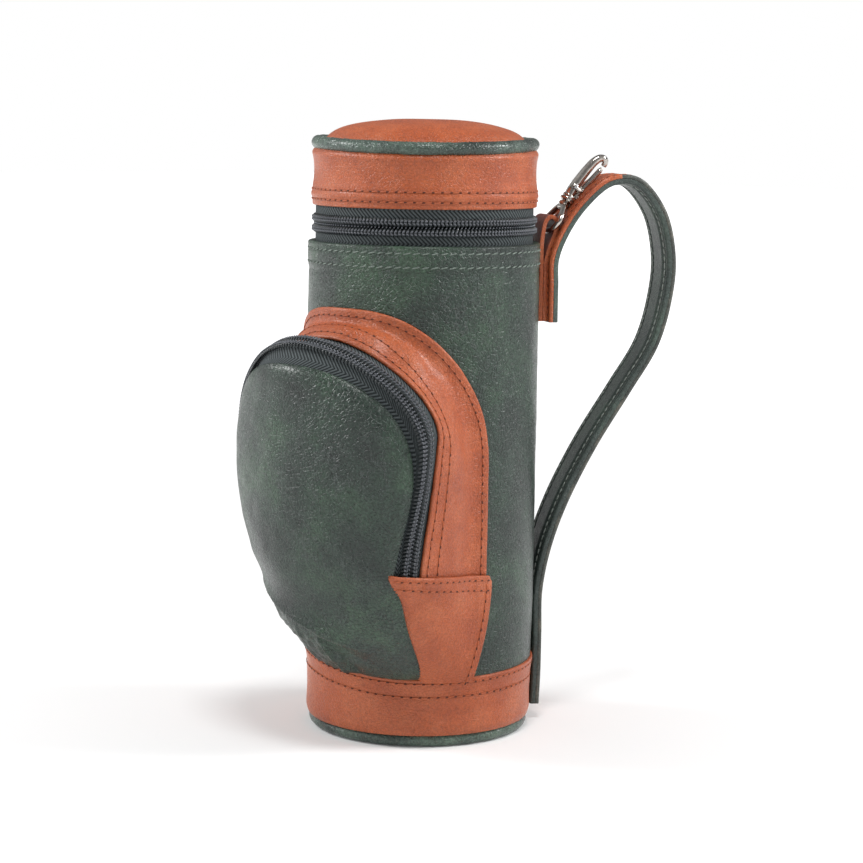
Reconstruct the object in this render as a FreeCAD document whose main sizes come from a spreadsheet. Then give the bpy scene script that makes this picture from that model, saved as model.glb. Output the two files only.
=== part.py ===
import FreeCAD, Part
import math
import os
import Sketcher
from FreeCAD import Placement, Rotation, Vector

# A stiff leather cylinder with a zipped, hinged lid, a bulging zipped pouch on one side,
# a double carry strap, a swivel snap hook and a cedar disc in the bottom.
# Millimetres. Z is up, the origin is the centre of the base at the surface it stands on,
# and the pouch faces -Y. A heading is an angle about Z counted from -Y towards +X.

doc = FreeCAD.newDocument("case")
sheet = doc.addObject("Spreadsheet::Sheet", "Sizes")

SIZES = (
    # tube and its wall
    ("body_radius", 38.0),
    ("body_foot_radius", 37.3),
    ("body_taper_top", 45.0),
    ("body_top", 161.3),
    ("wall_radius", 36.2),
    ("core_inner", 34.6),
    ("lining", 0.6),
    ("hem_bottom", 150.0),
    # zip round the mouth
    ("tape_radius", 35.6),
    ("tape_skin", 0.6),
    ("zip_middle", 167.0),
    ("zip_split", 0.6),
    ("row_height", 2.5),
    ("row_radius", 36.9),
    ("tape_reach", 15.0),
    ("zip_heading", 57.0),
    ("zip_span", 288.0),
    # base
    ("band_radius", 37.4),
    ("band_bottom", 4.4),
    ("band_top", 22.7),
    ("piping_skin", 2.1),
    ("piping_core", 1.2),
    ("base_piping_ring", 34.4),
    ("base_piping_height", 2.2),
    ("base_disc_radius", 32.2),
    ("base_panel_skin", 1.2),
    ("cedar_radius", 33.0),
    ("cedar_thickness", 5.0),
    ("cedar_edge", 0.5),
    # lid
    ("lid_radius", 36.9),
    ("lid_bottom", 172.8),
    ("lid_top", 190.3),
    ("lid_core_inner", 33.6),
    ("lid_piping_ring", 35.1),
    ("lid_piping_height", 192.5),
    ("dome_radius", 32.4),
    ("dome_rise", 9.7),
    ("dome_base", 190.5),
    ("leather", 1.2),
    ("hinge_axis_radius", 36.6),
    ("hinge_heading", 237.0),
    ("hinge_span", 70.0),
    # pouch
    ("pouch_radius", 61.5),
    ("pouch_shoulder", 92.0),
    ("pouch_belly_radius", 119.0),
    ("pouch_foot", 28.5),
    ("pouch_skin", 1.4),
    ("pouch_back_half", 36.9),
    ("pouch_back_rise", 68.2),
    ("pouch_front_half", 38.3),
    ("pouch_front_rise", 32.4),
    ("gusset_reach", 50.0),
    ("chain_reach", 55.9),
    ("flap_bottom", 56.6),
    ("patch_skin", 1.0),
    # strap
    ("strap_heading", 147.0),
    ("strap_width", 16.0),
    ("strap_outer_skin", 1.2),
    ("strap_inner_skin", 1.5),
    ("loop_width", 11.6),
    ("loop_skin", 1.4),
    # snap hook
    ("eye_radius", 41.3),
    ("eye_height", 168.3),
    ("hook_tilt", 45.0),
    ("eye_wire", 1.1),
    ("eye_half", 7.2),
    ("boss_radius", 2.6),
    ("hook_thickness", 3.6),
)
for row, (alias, value) in enumerate(SIZES, 1):
    sheet.set("A%d" % row, alias.replace("_", " "))
    sheet.set("B%d" % row, str(value))
    sheet.setAlias("B%d" % row, alias)
doc.recompute()

parts = []


def size(alias):
    """The number in one cell."""
    return float(sheet.get(alias))


def keep(obj, label, placement=None):
    """Name a finished sub-part, place it and list it for export."""
    obj.Label = label
    if placement is not None:
        obj.Placement = placement
    parts.append(obj)
    return obj


def turned(heading):
    """Placement that turns a piece drawn towards +X to a heading."""
    return Placement(Vector(), Rotation(Vector(0, 0, 1), heading - 90))


def outward(heading, radius, height):
    """Point at a heading, a radius and a height."""
    angle = math.radians(heading)
    return Vector(radius * math.sin(angle), -radius * math.cos(angle), height)


def feature(label, shape, placement=None):
    """A sub-part whose shape is worked out here in code."""
    obj = doc.addObject("Part::Feature", label)
    obj.Shape = shape
    return keep(obj, label, (placement or Placement()) * shape.Placement)


# ---------------------------------------------------------------- parametric helpers

def plane_of(body, role):
    return [item for item in body.Origin.OriginFeatures if item.Role == role][0]


def outline_sketch(body, name, corners):
    """Closed polygon on the XZ plane; each corner is a pair of expressions."""
    sketch = body.newObject("Sketcher::SketchObject", name)
    sketch.AttachmentSupport = [(plane_of(body, "XZ_Plane"), "")]
    sketch.MapMode = "FlatFace"
    places = [
        Vector(float(sketch.evalExpression(x)), float(sketch.evalExpression(z)), 0)
        for x, z in corners
    ]
    count = len(places)
    for index in range(count):
        sketch.addGeometry(Part.LineSegment(places[index], places[(index + 1) % count]))
    for index in range(count):
        sketch.addConstraint(Sketcher.Constraint("Coincident", index, 2, (index + 1) % count, 1))
    for index, (x, z) in enumerate(corners):
        for kind, expression, value in (
            ("DistanceX", x, places[index].x),
            ("DistanceY", z, places[index].y),
        ):
            number = sketch.addConstraint(Sketcher.Constraint(kind, -1, 1, index, 1, value))
            sketch.setExpression("Constraints[%d]" % number, expression)
    return sketch


def turned_shell(label, corners, span="360", placement=None):
    """PartDesign body: a polygon revolved about Z, symmetric about +X."""
    body = doc.addObject("PartDesign::Body", label)
    sketch = outline_sketch(body, label + "_section", corners)
    revolve = body.newObject("PartDesign::Revolution", label + "_turn")
    revolve.Profile = sketch
    revolve.ReferenceAxis = (sketch, ["V_Axis"])
    revolve.Midplane = True
    revolve.setExpression("Angle", span)
    return keep(body, label, placement or Placement())


def ring_section(inner, outer, bottom, top):
    return [(inner, bottom), (outer, bottom), (outer, top), (inner, top)]


def disc(label, radius, bottom, height):
    """Round plate with its sizes bound to the sheet."""
    obj = doc.addObject("Part::Cylinder", label)
    obj.setExpression("Radius", radius)
    obj.setExpression("Height", height)
    obj.setExpression("Placement.Base.z", bottom)
    return obj


def torus(name, ring, tube, height):
    obj = doc.addObject("Part::Torus", name)
    obj.setExpression("Radius1", ring)
    obj.setExpression("Radius2", tube)
    obj.setExpression("Placement.Base.z", height)
    return obj


def piping(label, ring, height):
    """Round leather piping: a skin sewn round a cord."""
    skin = doc.addObject("Part::Cut", label)
    skin.Base = torus(label + "_outside", ring, "Sizes.piping_skin", height)
    skin.Tool = torus(label + "_bore", ring, "Sizes.piping_core", height)
    keep(skin, label)
    keep(torus(label + "_cord", ring, "Sizes.piping_core", height), label + "_cord")


# ---------------------------------------------------------------- tube

turned_shell("body_sleeve", [
    ("Sizes.wall_radius", "Sizes.band_top + 0.1"),
    ("Sizes.body_foot_radius", "Sizes.band_top + 0.1"),
    ("Sizes.body_radius", "Sizes.body_taper_top"),
    ("Sizes.body_radius", "Sizes.body_top"),
    ("Sizes.tape_radius", "Sizes.body_top"),
    ("Sizes.tape_radius", "Sizes.hem_bottom"),
    ("Sizes.wall_radius", "Sizes.hem_bottom"),
])
turned_shell("body_core", ring_section(
    "Sizes.core_inner", "Sizes.wall_radius", "Sizes.band_bottom", "Sizes.hem_bottom"))
turned_shell("body_lining", [
    ("Sizes.core_inner - Sizes.lining", "Sizes.band_bottom"),
    ("Sizes.core_inner", "Sizes.band_bottom"),
    ("Sizes.core_inner", "Sizes.hem_bottom"),
    ("Sizes.tape_radius - Sizes.tape_skin", "Sizes.hem_bottom"),
    ("Sizes.tape_radius - Sizes.tape_skin", "Sizes.body_top - 0.8"),
    ("Sizes.core_inner - Sizes.lining", "Sizes.body_top - 0.8"),
])

# ---------------------------------------------------------------- base

turned_shell("bottom_band", ring_section(
    "Sizes.wall_radius", "Sizes.band_radius", "Sizes.band_bottom", "Sizes.band_top"))
piping("base_piping", "Sizes.base_piping_ring", "Sizes.base_piping_height")
keep(disc("base_panel", "Sizes.base_disc_radius", "0", "Sizes.base_panel_skin"), "base_panel")
keep(disc("base_board", "Sizes.base_disc_radius", "Sizes.base_panel_skin",
          "Sizes.band_bottom - Sizes.base_panel_skin"), "base_board")
keep(disc("base_lining", "Sizes.core_inner - Sizes.lining", "Sizes.band_bottom",
          "Sizes.lining"), "base_lining")
cedar = doc.addObject("Part::Chamfer", "cedar_block")
cedar.Base = disc("cedar_blank", "Sizes.cedar_radius", "Sizes.band_bottom + Sizes.lining",
                  "Sizes.cedar_thickness")
doc.recompute()
cedar.Edges = [
    (index, size("cedar_edge"), size("cedar_edge"))
    for index, edge in enumerate(cedar.Base.Shape.Edges, 1)
    if isinstance(edge.Curve, Part.Circle)
]
keep(cedar, "cedar_block")

# ---------------------------------------------------------------- zip round the mouth

ZIP = turned(size("zip_heading"))
HINGE = turned(size("hinge_heading"))
LOWER_EDGE = "Sizes.zip_middle - Sizes.zip_split"
UPPER_EDGE = "Sizes.zip_middle + Sizes.zip_split"


def tape_and_row(owner, edge, away, tape_label, hinge_label):
    """One half of the zip: a woven tape, its row of coils and the leather hinge beside it."""
    tape_inner = "Sizes.tape_radius - Sizes.tape_skin"
    far = "%s %s Sizes.tape_reach" % (edge, away)
    row_far = "%s %s Sizes.row_height" % (edge, away)
    low, high = (far, edge) if away == "-" else (edge, far)
    row_low, row_high = (row_far, edge) if away == "-" else (edge, row_far)
    turned_shell(tape_label, ring_section(tape_inner, "Sizes.tape_radius", low, high),
                 "Sizes.zip_span + 1", ZIP)
    turned_shell(owner + "_zip_coil", [
        ("Sizes.tape_radius", row_low),
        ("Sizes.row_radius - 0.4", row_low),
        ("Sizes.row_radius", "%s + 0.5" % row_low),
        ("Sizes.row_radius", "%s - 0.5" % row_high),
        ("Sizes.row_radius - 0.4", row_high),
        ("Sizes.tape_radius", row_high),
    ], "Sizes.zip_span", ZIP)
    turned_shell(hinge_label, ring_section(tape_inner, "Sizes.tape_radius", low, high),
                 "Sizes.hinge_span", HINGE)


def zip_stops(label, edge, away):
    """Two crimped stops, one past each end of a row of coils."""
    half_span = size("zip_span") / 2
    middle = float(sheet.evalExpression(edge)) + away * size("row_height") / 2
    blocks = []
    for side in (-1, 1):
        block = Part.makeBox(1.6, 1.5, size("row_height") - 0.2)
        block.translate(Vector(-0.1, -0.75, -(size("row_height") - 0.2) / 2))
        heading = size("zip_heading") + side * (half_span + 1.3)
        spot = outward(heading, size("tape_radius"), middle)
        block.Placement = Placement(spot, turned(heading).Rotation) * block.Placement
        blocks.append(block.cut(Part.makeCylinder(size("tape_radius"), 200)))
    feature(label, Part.makeCompound(blocks))


tape_and_row("body", LOWER_EDGE, "-", "body_zip_tape", "hinge_lower")
tape_and_row("lid", UPPER_EDGE, "+", "lid_zip_tape", "hinge_upper")
zip_stops("body_zip_stops", LOWER_EDGE, -1)
zip_stops("lid_zip_stops", UPPER_EDGE, 1)

# ---------------------------------------------------------------- lid

turned_shell("lid_band", ring_section(
    "Sizes.tape_radius", "Sizes.lid_radius", "Sizes.lid_bottom", "Sizes.lid_top"))
TAPE_END = UPPER_EDGE + " + Sizes.tape_reach + 0.1"
turned_shell("lid_core", [
    ("Sizes.lid_core_inner", "Sizes.lid_bottom + 0.2"),
    ("Sizes.tape_radius - Sizes.tape_skin", "Sizes.lid_bottom + 0.2"),
    ("Sizes.tape_radius - Sizes.tape_skin", TAPE_END),
    ("Sizes.tape_radius", TAPE_END),
    ("Sizes.tape_radius", "Sizes.lid_top"),
    ("Sizes.lid_core_inner", "Sizes.lid_top"),
])
keep(disc("lid_board", "Sizes.lid_core_inner", "Sizes.lid_top - 2", "2"), "lid_board")
lid_lining = doc.addObject("Part::Cut", "lid_lining")
lid_lining.Base = disc("lid_lining_blank", "Sizes.lid_core_inner", "Sizes.lid_bottom + 0.2",
                       "Sizes.lid_top - 2 - Sizes.lid_bottom - 0.2")
lid_lining.Tool = disc("lid_lining_hollow", "Sizes.lid_core_inner - Sizes.lining",
                       "Sizes.lid_bottom - 1",
                       "Sizes.lid_top - 1 - Sizes.lining - Sizes.lid_bottom")
keep(lid_lining, "lid_lining")
piping("lid_piping", "Sizes.lid_piping_ring", "Sizes.lid_piping_height")


def half_ellipsoid(name, inset):
    """Upper half of the lid's dome, shrunk by an inset."""
    obj = doc.addObject("Part::Ellipsoid", name)
    obj.Angle1 = 0
    obj.setExpression("Radius1", "Sizes.dome_rise - %s" % inset)
    obj.setExpression("Radius2", "Sizes.dome_radius - %s" % inset)
    obj.setExpression("Radius3", "Sizes.dome_radius - %s" % inset)
    obj.setExpression("Placement.Base.z", "Sizes.dome_base")
    return obj


dome = doc.addObject("Part::Cut", "lid_top_panel")
dome.Base = half_ellipsoid("dome_outside", "0")
dome.Tool = half_ellipsoid("dome_inside", "Sizes.leather")
keep(dome, "lid_top_panel")
keep(half_ellipsoid("lid_pad", "Sizes.leather"), "lid_pad")

# ---------------------------------------------------------------- main zip slider
# The slider grips the lower row with a lip and a back plate; its front plate only covers
# the upper row, so the lid can lift away from it.

SLIDER_HEADING = size("zip_heading") - size("zip_span") / 2 + 10
PLATE_GAP = 0.6
PLATE = 0.7
PULL_GAP = 0.35
PULL = 0.7


def sector(inner, outer, bottom, top, degrees):
    """Piece of a ring, symmetric about +X."""
    face = Part.Face(Part.makePolygon([
        Vector(inner, 0, bottom), Vector(outer, 0, bottom),
        Vector(outer, 0, top), Vector(inner, 0, top), Vector(inner, 0, bottom)]))
    face.rotate(Vector(), Vector(0, 0, 1), -degrees / 2)
    return face.revolve(Vector(), Vector(0, 0, 1), degrees)


def box(x, y, z):
    """Box from three (low, high) pairs."""
    solid = Part.makeBox(x[1] - x[0], y[1] - y[0], z[1] - z[0])
    solid.translate(Vector(x[0], y[0], z[0]))
    return solid


def main_slider():
    middle = size("zip_middle")
    front = size("row_radius") + PLATE_GAP
    back = size("tape_radius") - size("tape_skin") - 0.3
    plate = sector(front, front + PLATE, middle - 5, middle + 3, 15)
    lip = sector(size("tape_radius") + 0.3, front, middle - 5, middle - 3.6, 15)
    behind = sector(back - PLATE, back, middle - 4.6, middle + 3, 15)
    post = sector(back - PLATE, front + PLATE, middle - 0.25, middle + 0.25, 2)
    post.rotate(Vector(), Vector(0, 0, 1), 6)
    arch_foot = front + PLATE
    arch_top = arch_foot + PULL_GAP * 2 + PULL
    arch = box((arch_foot - 0.2, arch_top + 0.7), (-0.8, 0.8), (middle - 2.7, middle + 2.7))
    window = box((arch_foot - 1, arch_top), (-1, 1), (middle - 1.9, middle + 1.9))
    return plate.fuse([lip, behind, post, arch.cut(window)]).removeSplitter()


def pull_tab(length):
    """Flat tab with a slot; its cross bar, which it hangs from, is at the origin."""
    tab = box((-PULL / 2, PULL / 2), (-2.3, 2.3), (-length, 0.5))
    slot = box((-1, 1), (-1.3, 1.3), (-2.6, -0.5))
    hole = Part.makeCylinder(1.1, 4, Vector(-2, 0, 2.4 - length), Vector(1, 0, 0))
    tab = tab.cut([slot, hole])
    ends = [edge for edge in tab.Edges
            if abs(edge.BoundBox.ZMax + length) < 0.01 and edge.BoundBox.YLength < 0.01]
    return tab.makeFillet(2.0, ends)


AT_SLIDER = turned(SLIDER_HEADING)
CROSS_BAR = PLATE + PULL_GAP + PULL / 2
PULL_RADIUS = size("row_radius") + PLATE_GAP + CROSS_BAR
HANGER = outward(SLIDER_HEADING, PULL_RADIUS, size("zip_middle") - 1.2)
feature("zip_slider", main_slider(), AT_SLIDER)
feature("zip_pull", pull_tab(19.0), Placement(HANGER, AT_SLIDER.Rotation))

# ---------------------------------------------------------------- pouch
# Its wall is a loft from an arch near the tube to a lower arch in front; its front is
# turned about the tube's axis, so that it bulges and runs in to the bottom band.

BACK_PLANE = 8.0
FRONT_PLANE = 66.0
ARCH_FOOT = 20.0


def arch(plane, half, spring, rise, power, lean, inset):
    """Arch-shaped outline at y = -plane, with its foot narrowed by lean."""
    def side(height):
        return half - inset - lean * (spring - height) ** 1.8
    right = [(side(ARCH_FOOT + (spring - ARCH_FOOT) * step / 4.0),
              ARCH_FOOT + (spring - ARCH_FOOT) * step / 4.0) for step in range(4)]
    crown = []
    for step in range(17):
        angle = math.pi * step / 16
        across = math.cos(angle)
        up = math.sin(angle)
        crown.append((
            math.copysign(abs(across) ** (2 / power), across) * (half - inset),
            spring + abs(up) ** (2 / power) * (rise - inset)))
    left = [(-x, z) for x, z in reversed(right)]
    points = [Vector(x, -plane, z) for x, z in right + crown + left]
    curve = Part.BSplineCurve()
    curve.interpolate(points)
    return Part.Wire([curve.toShape(), Part.makeLine(points[-1], points[0])])


def wedge(inset):
    """Everything inside the pouch's side wall, drawn in by an inset."""
    back = arch(BACK_PLANE, size("pouch_back_half"), 92.0,
                size("pouch_back_rise"), 2.2, 0.0005, inset)
    front = arch(FRONT_PLANE, size("pouch_front_half"), 92.0,
                 size("pouch_front_rise"), 2.05, 0.0135, inset)
    return Part.makeLoft([back, front], True, True)


def belly(inset):
    """Everything behind the pouch's front, drawn in by an inset."""
    reach = size("pouch_radius") - inset
    bend = size("pouch_belly_radius") - inset
    shoulder = size("pouch_shoulder")
    foot = size("pouch_foot")

    def reach_at(height):
        return reach - bend + math.sqrt(bend ** 2 - (shoulder - height) ** 2)
    half_way = (shoulder + foot) / 2
    toe = Vector(size("body_radius") - inset, 0, size("band_top") + 0.1)
    start = Vector(reach_at(foot), 0, foot)
    end = Vector(reach, 0, shoulder)
    edges = [
        Part.makeLine(Vector(0, 0, toe.z), toe),
        Part.makeLine(toe, start),
        Part.Arc(start, Vector(reach_at(half_way), 0, half_way), end).toShape(),
        Part.makeLine(end, Vector(reach, 0, 150)),
        Part.makeLine(Vector(reach, 0, 150), Vector(0, 0, 150)),
        Part.makeLine(Vector(0, 0, 150), Vector(0, 0, toe.z)),
    ]
    return Part.Face(Part.Wire(edges)).revolve(Vector(), Vector(0, 0, 1), 360)


def ring(inner, outer, bottom, top):
    """Upright ring about the tube's axis."""
    solid = Part.makeCylinder(outer, top - bottom, Vector(0, 0, bottom))
    return solid.cut(Part.makeCylinder(inner, top - bottom, Vector(0, 0, bottom)))


SKIN = size("pouch_skin")
TUBE_GAP = size("body_radius") + 0.1
SEAM = size("flap_bottom") - 0.3
wall = wedge(0).cut(wedge(SKIN))
inside_front = belly(SKIN)
gusset = wall.common(ring(TUBE_GAP, size("gusset_reach"), 24, 150))
gusset_foot = wall.common(ring(TUBE_GAP, 70, 24, SEAM - 0.2))
feature("pocket_gusset", gusset.fuse(gusset_foot).common(inside_front).removeSplitter())

front = wedge(0).common(belly(0).cut(inside_front))
feature("pocket_panel_lower", front.common(ring(TUBE_GAP, 70, size("band_top"), SEAM)))
feature("pocket_flap_panel", front.common(ring(TUBE_GAP, 70, size("flap_bottom"), 150)))


# A corner patch covers the wall's foot and runs out on to the tube, where its edge slants
# forward on its way down: (distance in front of the axis, height).
PATCH_EDGE = ((8.6, 55.7), (10.2, 41.3), (13.9, 23.0))
PATCH_LOW = size("band_top") + 0.3
PATCH_HIGH = SEAM - 0.6
outline = [Vector(0, -y, z) for y, z in PATCH_EDGE]
outline += [Vector(0, -80, PATCH_EDGE[-1][1]), Vector(0, -80, PATCH_EDGE[0][1]), outline[0]]
reach = Part.Face(Part.makePolygon(outline)).extrude(Vector(60, 0, 0))
skirt = ring(TUBE_GAP, TUBE_GAP + size("patch_skin"), PATCH_LOW, PATCH_HIGH)
cover = wedge(-size("patch_skin")).common(belly(0.2))
cover = cover.common(ring(TUBE_GAP, 70, PATCH_LOW, PATCH_HIGH))
skirt = skirt.common(box((24, 60), (-80, 0), (0, 150)))
patch = cover.common(box((0, 60), (-80, 0), (0, 150))).fuse(skirt).cut(wedge(0))
patch = patch.common(reach).removeSplitter()
feature("pocket_patch_right", patch)
feature("pocket_patch_left", patch.mirror(Vector(), Vector(1, 0, 0)))

# The rows of coils stand this proud of the wall.
ROW_PROUD = 0.7
tape = wedge(0.4).cut(wedge(1.0))
row = wedge(-ROW_PROUD).cut(wedge(0.4))
chain = size("chain_reach")
GUSSET_EDGE = size("gusset_reach")
PANEL_EDGE = size("pouch_radius") - SKIN
HALF_SPLIT = 0.4
ROW_DEPTH = 2.8
tape_foot = size("flap_bottom")
behind_panel = belly(SKIN + 0.8)
inner_tape = ring(GUSSET_EDGE, chain - HALF_SPLIT, tape_foot, 150)
inner_row = ring(chain - ROW_DEPTH, chain - HALF_SPLIT, tape_foot, 150)
outer_tape = ring(chain + HALF_SPLIT, PANEL_EDGE, tape_foot + HALF_SPLIT, 150)
outer_row = ring(chain + HALF_SPLIT, chain + ROW_DEPTH, tape_foot + HALF_SPLIT, 150)
feature("pocket_zip_tape_inner", tape.common(inner_tape).common(behind_panel))
feature("pocket_zip_coil_inner", row.common(inner_row).common(behind_panel))
feature("pocket_zip_tape_outer", tape.common(outer_tape).common(inside_front))
feature("pocket_zip_coil_outer", row.common(outer_row).common(inside_front))

# ---------------------------------------------------------------- strap
# Two layers sewn back to back along one curve. The curve lies in an upright plane at the
# strap's heading and is given as (radius, height) from the foot to the cut end under the lid.

STRAP_ROUTE = (
    (39.1, 5.2), (39.5, 16.0), (39.6, 30.0), (39.6, 44.0), (42.2, 58.0), (47.6, 73.2),
    (57.6, 92.6), (69.6, 111.4), (79.2, 127.0), (83.6, 142.6), (84.5, 156.0),
    (80.6, 171.4), (71.6, 181.4), (62.4, 181.6), (53.0, 174.2), (46.0, 164.6),
    (42.4, 155.6), (42.1, 147.0), (42.1, 134.6),
)


def route_curve(route):
    curve = Part.BSplineCurve()
    curve.interpolate([Vector(x, 0, z) for x, z in route])
    return curve


def layer(route, near, far, width, samples):
    """Strip between two offsets of a route, symmetric about the plane it lies in."""
    middle = route_curve(route)
    sides = []
    for offset in (near, far):
        points = []
        for step in range(samples + 1):
            at = middle.FirstParameter
            at += (middle.LastParameter - middle.FirstParameter) * step / samples
            along = middle.tangent(at)[0]
            points.append(middle.value(at) + Vector(along.z, 0, -along.x) * offset)
        edge = Part.BSplineCurve()
        edge.interpolate(points)
        sides.append((edge.toShape(), points))
    (first, start), (second, end) = sides
    wire = Part.Wire([first, Part.makeLine(start[-1], end[-1]), second,
                      Part.makeLine(end[0], start[0])])
    solid = Part.Face(wire).extrude(Vector(0, width, 0))
    solid.translate(Vector(0, -width / 2, 0))
    return solid


STRAP = turned(size("strap_heading"))
feature("strap_outer", layer(STRAP_ROUTE, 0, size("strap_outer_skin"),
                             size("strap_width"), 60), STRAP)
feature("strap_inner", layer(STRAP_ROUTE, -size("strap_inner_skin"), 0,
                             size("strap_width"), 60), STRAP)

# The hook's loop is one strip folded over the eye's bar, with both ends sewn to the tube.
LOOP_INNER = size("body_radius") + 0.1
LOOP_SKIN = size("loop_skin")
EYE = Vector(size("eye_radius"), 0, size("eye_height"))
LOOP_NEAR = LOOP_INNER + LOOP_SKIN / 2
LOOP_FAR = LOOP_NEAR + LOOP_SKIN
LOOP_BEND = 2.2
LOOP_FOOT = 134.9


def tangent_point(spot, side):
    """Where a straight run from a spot meets the bend round the eye's bar."""
    away = spot - EYE
    turn = math.acos(LOOP_BEND / away.Length) * side
    angle = math.atan2(away.z, away.x) + turn
    return EYE + Vector(math.cos(angle), 0, math.sin(angle)) * LOOP_BEND


def hook_loop():
    near = Vector(LOOP_NEAR, 0, 158)
    far = Vector(LOOP_FAR, 0, 154)
    rise = tangent_point(near, -1)
    fall = tangent_point(far, 1)
    path = Part.Wire([
        Part.makeLine(Vector(LOOP_NEAR, 0, LOOP_FOOT), near),
        Part.makeLine(near, rise),
        Part.Arc(rise, EYE + Vector(0, 0, LOOP_BEND), fall).toShape(),
        Part.makeLine(fall, far),
        Part.makeLine(far, Vector(LOOP_FAR, 0, LOOP_FOOT)),
    ])
    width = size("loop_width")
    strip = path.makeOffset2D(LOOP_SKIN / 2 - 0.1, 0, True, False, False)
    strip = strip.extrude(Vector(0, width, 0))
    strip.translate(Vector(0, -width / 2, 0))
    return strip


feature("hook_loop", hook_loop(), STRAP)

# ---------------------------------------------------------------- snap hook
# Drawn along +Z from the eye's bar, with its width along Y and its flat side facing X.

HALF_TURN = Placement(Vector(), Rotation(Vector(0, 0, 1), 180))
HOOK = STRAP * Placement(EYE, Rotation(Vector(0, 1, 0), 90 - size("hook_tilt"))) * HALF_TURN
BOSS_FOOT = 7.9
BOSS_TOP = 10.3
STEM = 1.2
PIVOT = Vector(0, 2.3, 15.0)
PIN = 0.6


def eye_ring():
    """D-shaped eye from two mirrored runs of wire, with the swivel's boss on its crown."""
    half = size("eye_half")
    corner = 1.5
    crown = half + 1.7
    bend = corner * (1 - math.sqrt(0.5))
    wire = Part.Wire(Part.makeCircle(size("eye_wire"), Vector(), Vector(0, 1, 0)))
    halves = []
    for side in (-1, 1):
        spine = Part.Wire([
            Part.makeLine(Vector(), Vector(0, side * (half - corner), 0)),
            Part.Arc(Vector(0, side * (half - corner), 0), Vector(0, side * (half - bend), bend),
                     Vector(0, side * half, corner)).toShape(),
            half_crown(side, half, corner, crown)])
        halves.append(spine.makePipeShell([wire], True, False))
    boss = Part.makeCylinder(size("boss_radius"), BOSS_TOP - BOSS_FOOT, Vector(0, 0, BOSS_FOOT))
    bore = Part.makeCylinder(STEM + 0.15, 6, Vector(0, 0, BOSS_FOOT - 2.2))
    return halves[0].fuse([halves[1], boss]).cut(bore)


def half_crown(side, half, corner, crown):
    """Quarter of the ring from one leg to the top."""
    middle = (crown ** 2 - half ** 2 - corner ** 2) / (2 * (crown - corner))
    radius = crown - middle
    angle = math.radians(45)
    via = Vector(0, side * radius * math.sin(angle), middle + radius * math.cos(angle))
    return Part.Arc(Vector(0, side * half, corner), via, Vector(0, 0, crown)).toShape()


def plate(points, low, high):
    """Flat plate from (y, z) corners between two x planes."""
    corners = [Vector(low, y, z) for y, z in points]
    return Part.Face(Part.makePolygon(corners + corners[:1])).extrude(Vector(high - low, 0, 0))


def hook_body():
    half = size("hook_thickness") / 2
    reach = 4.2
    band = 1.1
    top = 26.6
    nose = 24.7
    head = Part.makeCylinder(2.1, 1.2, Vector(0, 0, BOSS_FOOT - 2.4))
    stem = Part.makeCylinder(STEM, 6, Vector(0, 0, BOSS_FOOT - 1.5))
    collar = Part.makeCylinder(size("boss_radius"), 1.6, Vector(0, 0, BOSS_TOP + 0.3))
    base = plate([(-2.6, 11.8), (2.6, 11.8), (4.2, 13.6), (4.2, 17.0), (1.4, 17.6),
                  (-1.8, 16.6), (-3.1, 18.6), (-5.3, 18.6), (-5.3, 15.6)], -half, half)
    arm = plate([(-reach - band, 18.4), (-reach + band, 18.4),
                 (-reach + band, top), (-reach - band, top)], -half, half)
    bow = Part.makeCylinder(reach + band, 2 * half, Vector(-half, 0, top), Vector(1, 0, 0))
    bow = bow.cut(Part.makeCylinder(reach - band, 2 * half, Vector(-half, 0, top),
                                    Vector(1, 0, 0)))
    bow = bow.common(box((-half, half), (-8, 8), (top, top + 8)))
    tip = plate([(reach - band, nose), (reach + band, nose), (reach + band, top),
                 (reach - band, top)], -half, half)
    body = base.fuse([arm, bow, tip]).removeSplitter()
    slot = box((-1.25, 1.25), (-1.0, 6), (12.9, 20))
    bore = Part.makeCylinder(PIN, 8, PIVOT - Vector(4, 0, 0), Vector(1, 0, 0))
    return body.cut([slot, bore]).fuse([head, stem, collar]).removeSplitter()


def gate():
    """Sprung lever that closes the hook's mouth."""
    lever = plate([(1.1, 14.2), (3.4, 14.2), (5.1, 16.4), (5.3, 21.0), (5.0, 24.0),
                   (3.3, 24.0), (3.1, 18.6), (1.1, 16.2)], -1.0, 0.2)
    bore = Part.makeCylinder(PIN + 0.08, 4, PIVOT - Vector(2, 0, 0), Vector(1, 0, 0))
    return lever.cut(bore)


def gate_spring():
    """Torsion spring's coil beside the gate, on the same pin."""
    coil = Part.makeCylinder(1.15, 0.7, PIVOT + Vector(0.4, 0, 0), Vector(1, 0, 0))
    return coil.cut(Part.makeCylinder(PIN + 0.15, 2, PIVOT - Vector(0.1, 0, 0), Vector(1, 0, 0)))


feature("hook_eye", eye_ring(), HOOK)
feature("hook_body", hook_body(), HOOK)
feature("hook_gate", gate(), HOOK)
feature("gate_spring", gate_spring(), HOOK)
feature("gate_pin", Part.makeCylinder(PIN, size("hook_thickness"),
                                      PIVOT - Vector(size("hook_thickness") / 2, 0, 0),
                                      Vector(1, 0, 0)), HOOK)

# ---------------------------------------------------------------- pouch slider
# It rests at the top of the left run of the chain and slides down that run.

SLIDE_HEAD = 91.5
SLIDE_FOOT = 73.5


def wall_half(height, forward):
    """Half width of the pouch's wall at a height and a distance in front of the axis."""
    back = size("pouch_back_half") - 0.0005 * (92 - height) ** 1.8
    ahead = size("pouch_front_half") - 0.0135 * (92 - height) ** 1.8
    share = (forward - BACK_PLANE) / (FRONT_PLANE - BACK_PLANE)
    return back + (ahead - back) * share


def chain_point(height):
    """Middle of the left run of the chain, on the wall's outer face."""
    forward = 40.0
    for _ in range(20):
        forward = math.sqrt(size("chain_reach") ** 2 - wall_half(height, forward) ** 2)
    return Vector(-wall_half(height, forward), -forward, height)


POCKET_FACE = ROW_PROUD + PLATE_GAP


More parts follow.
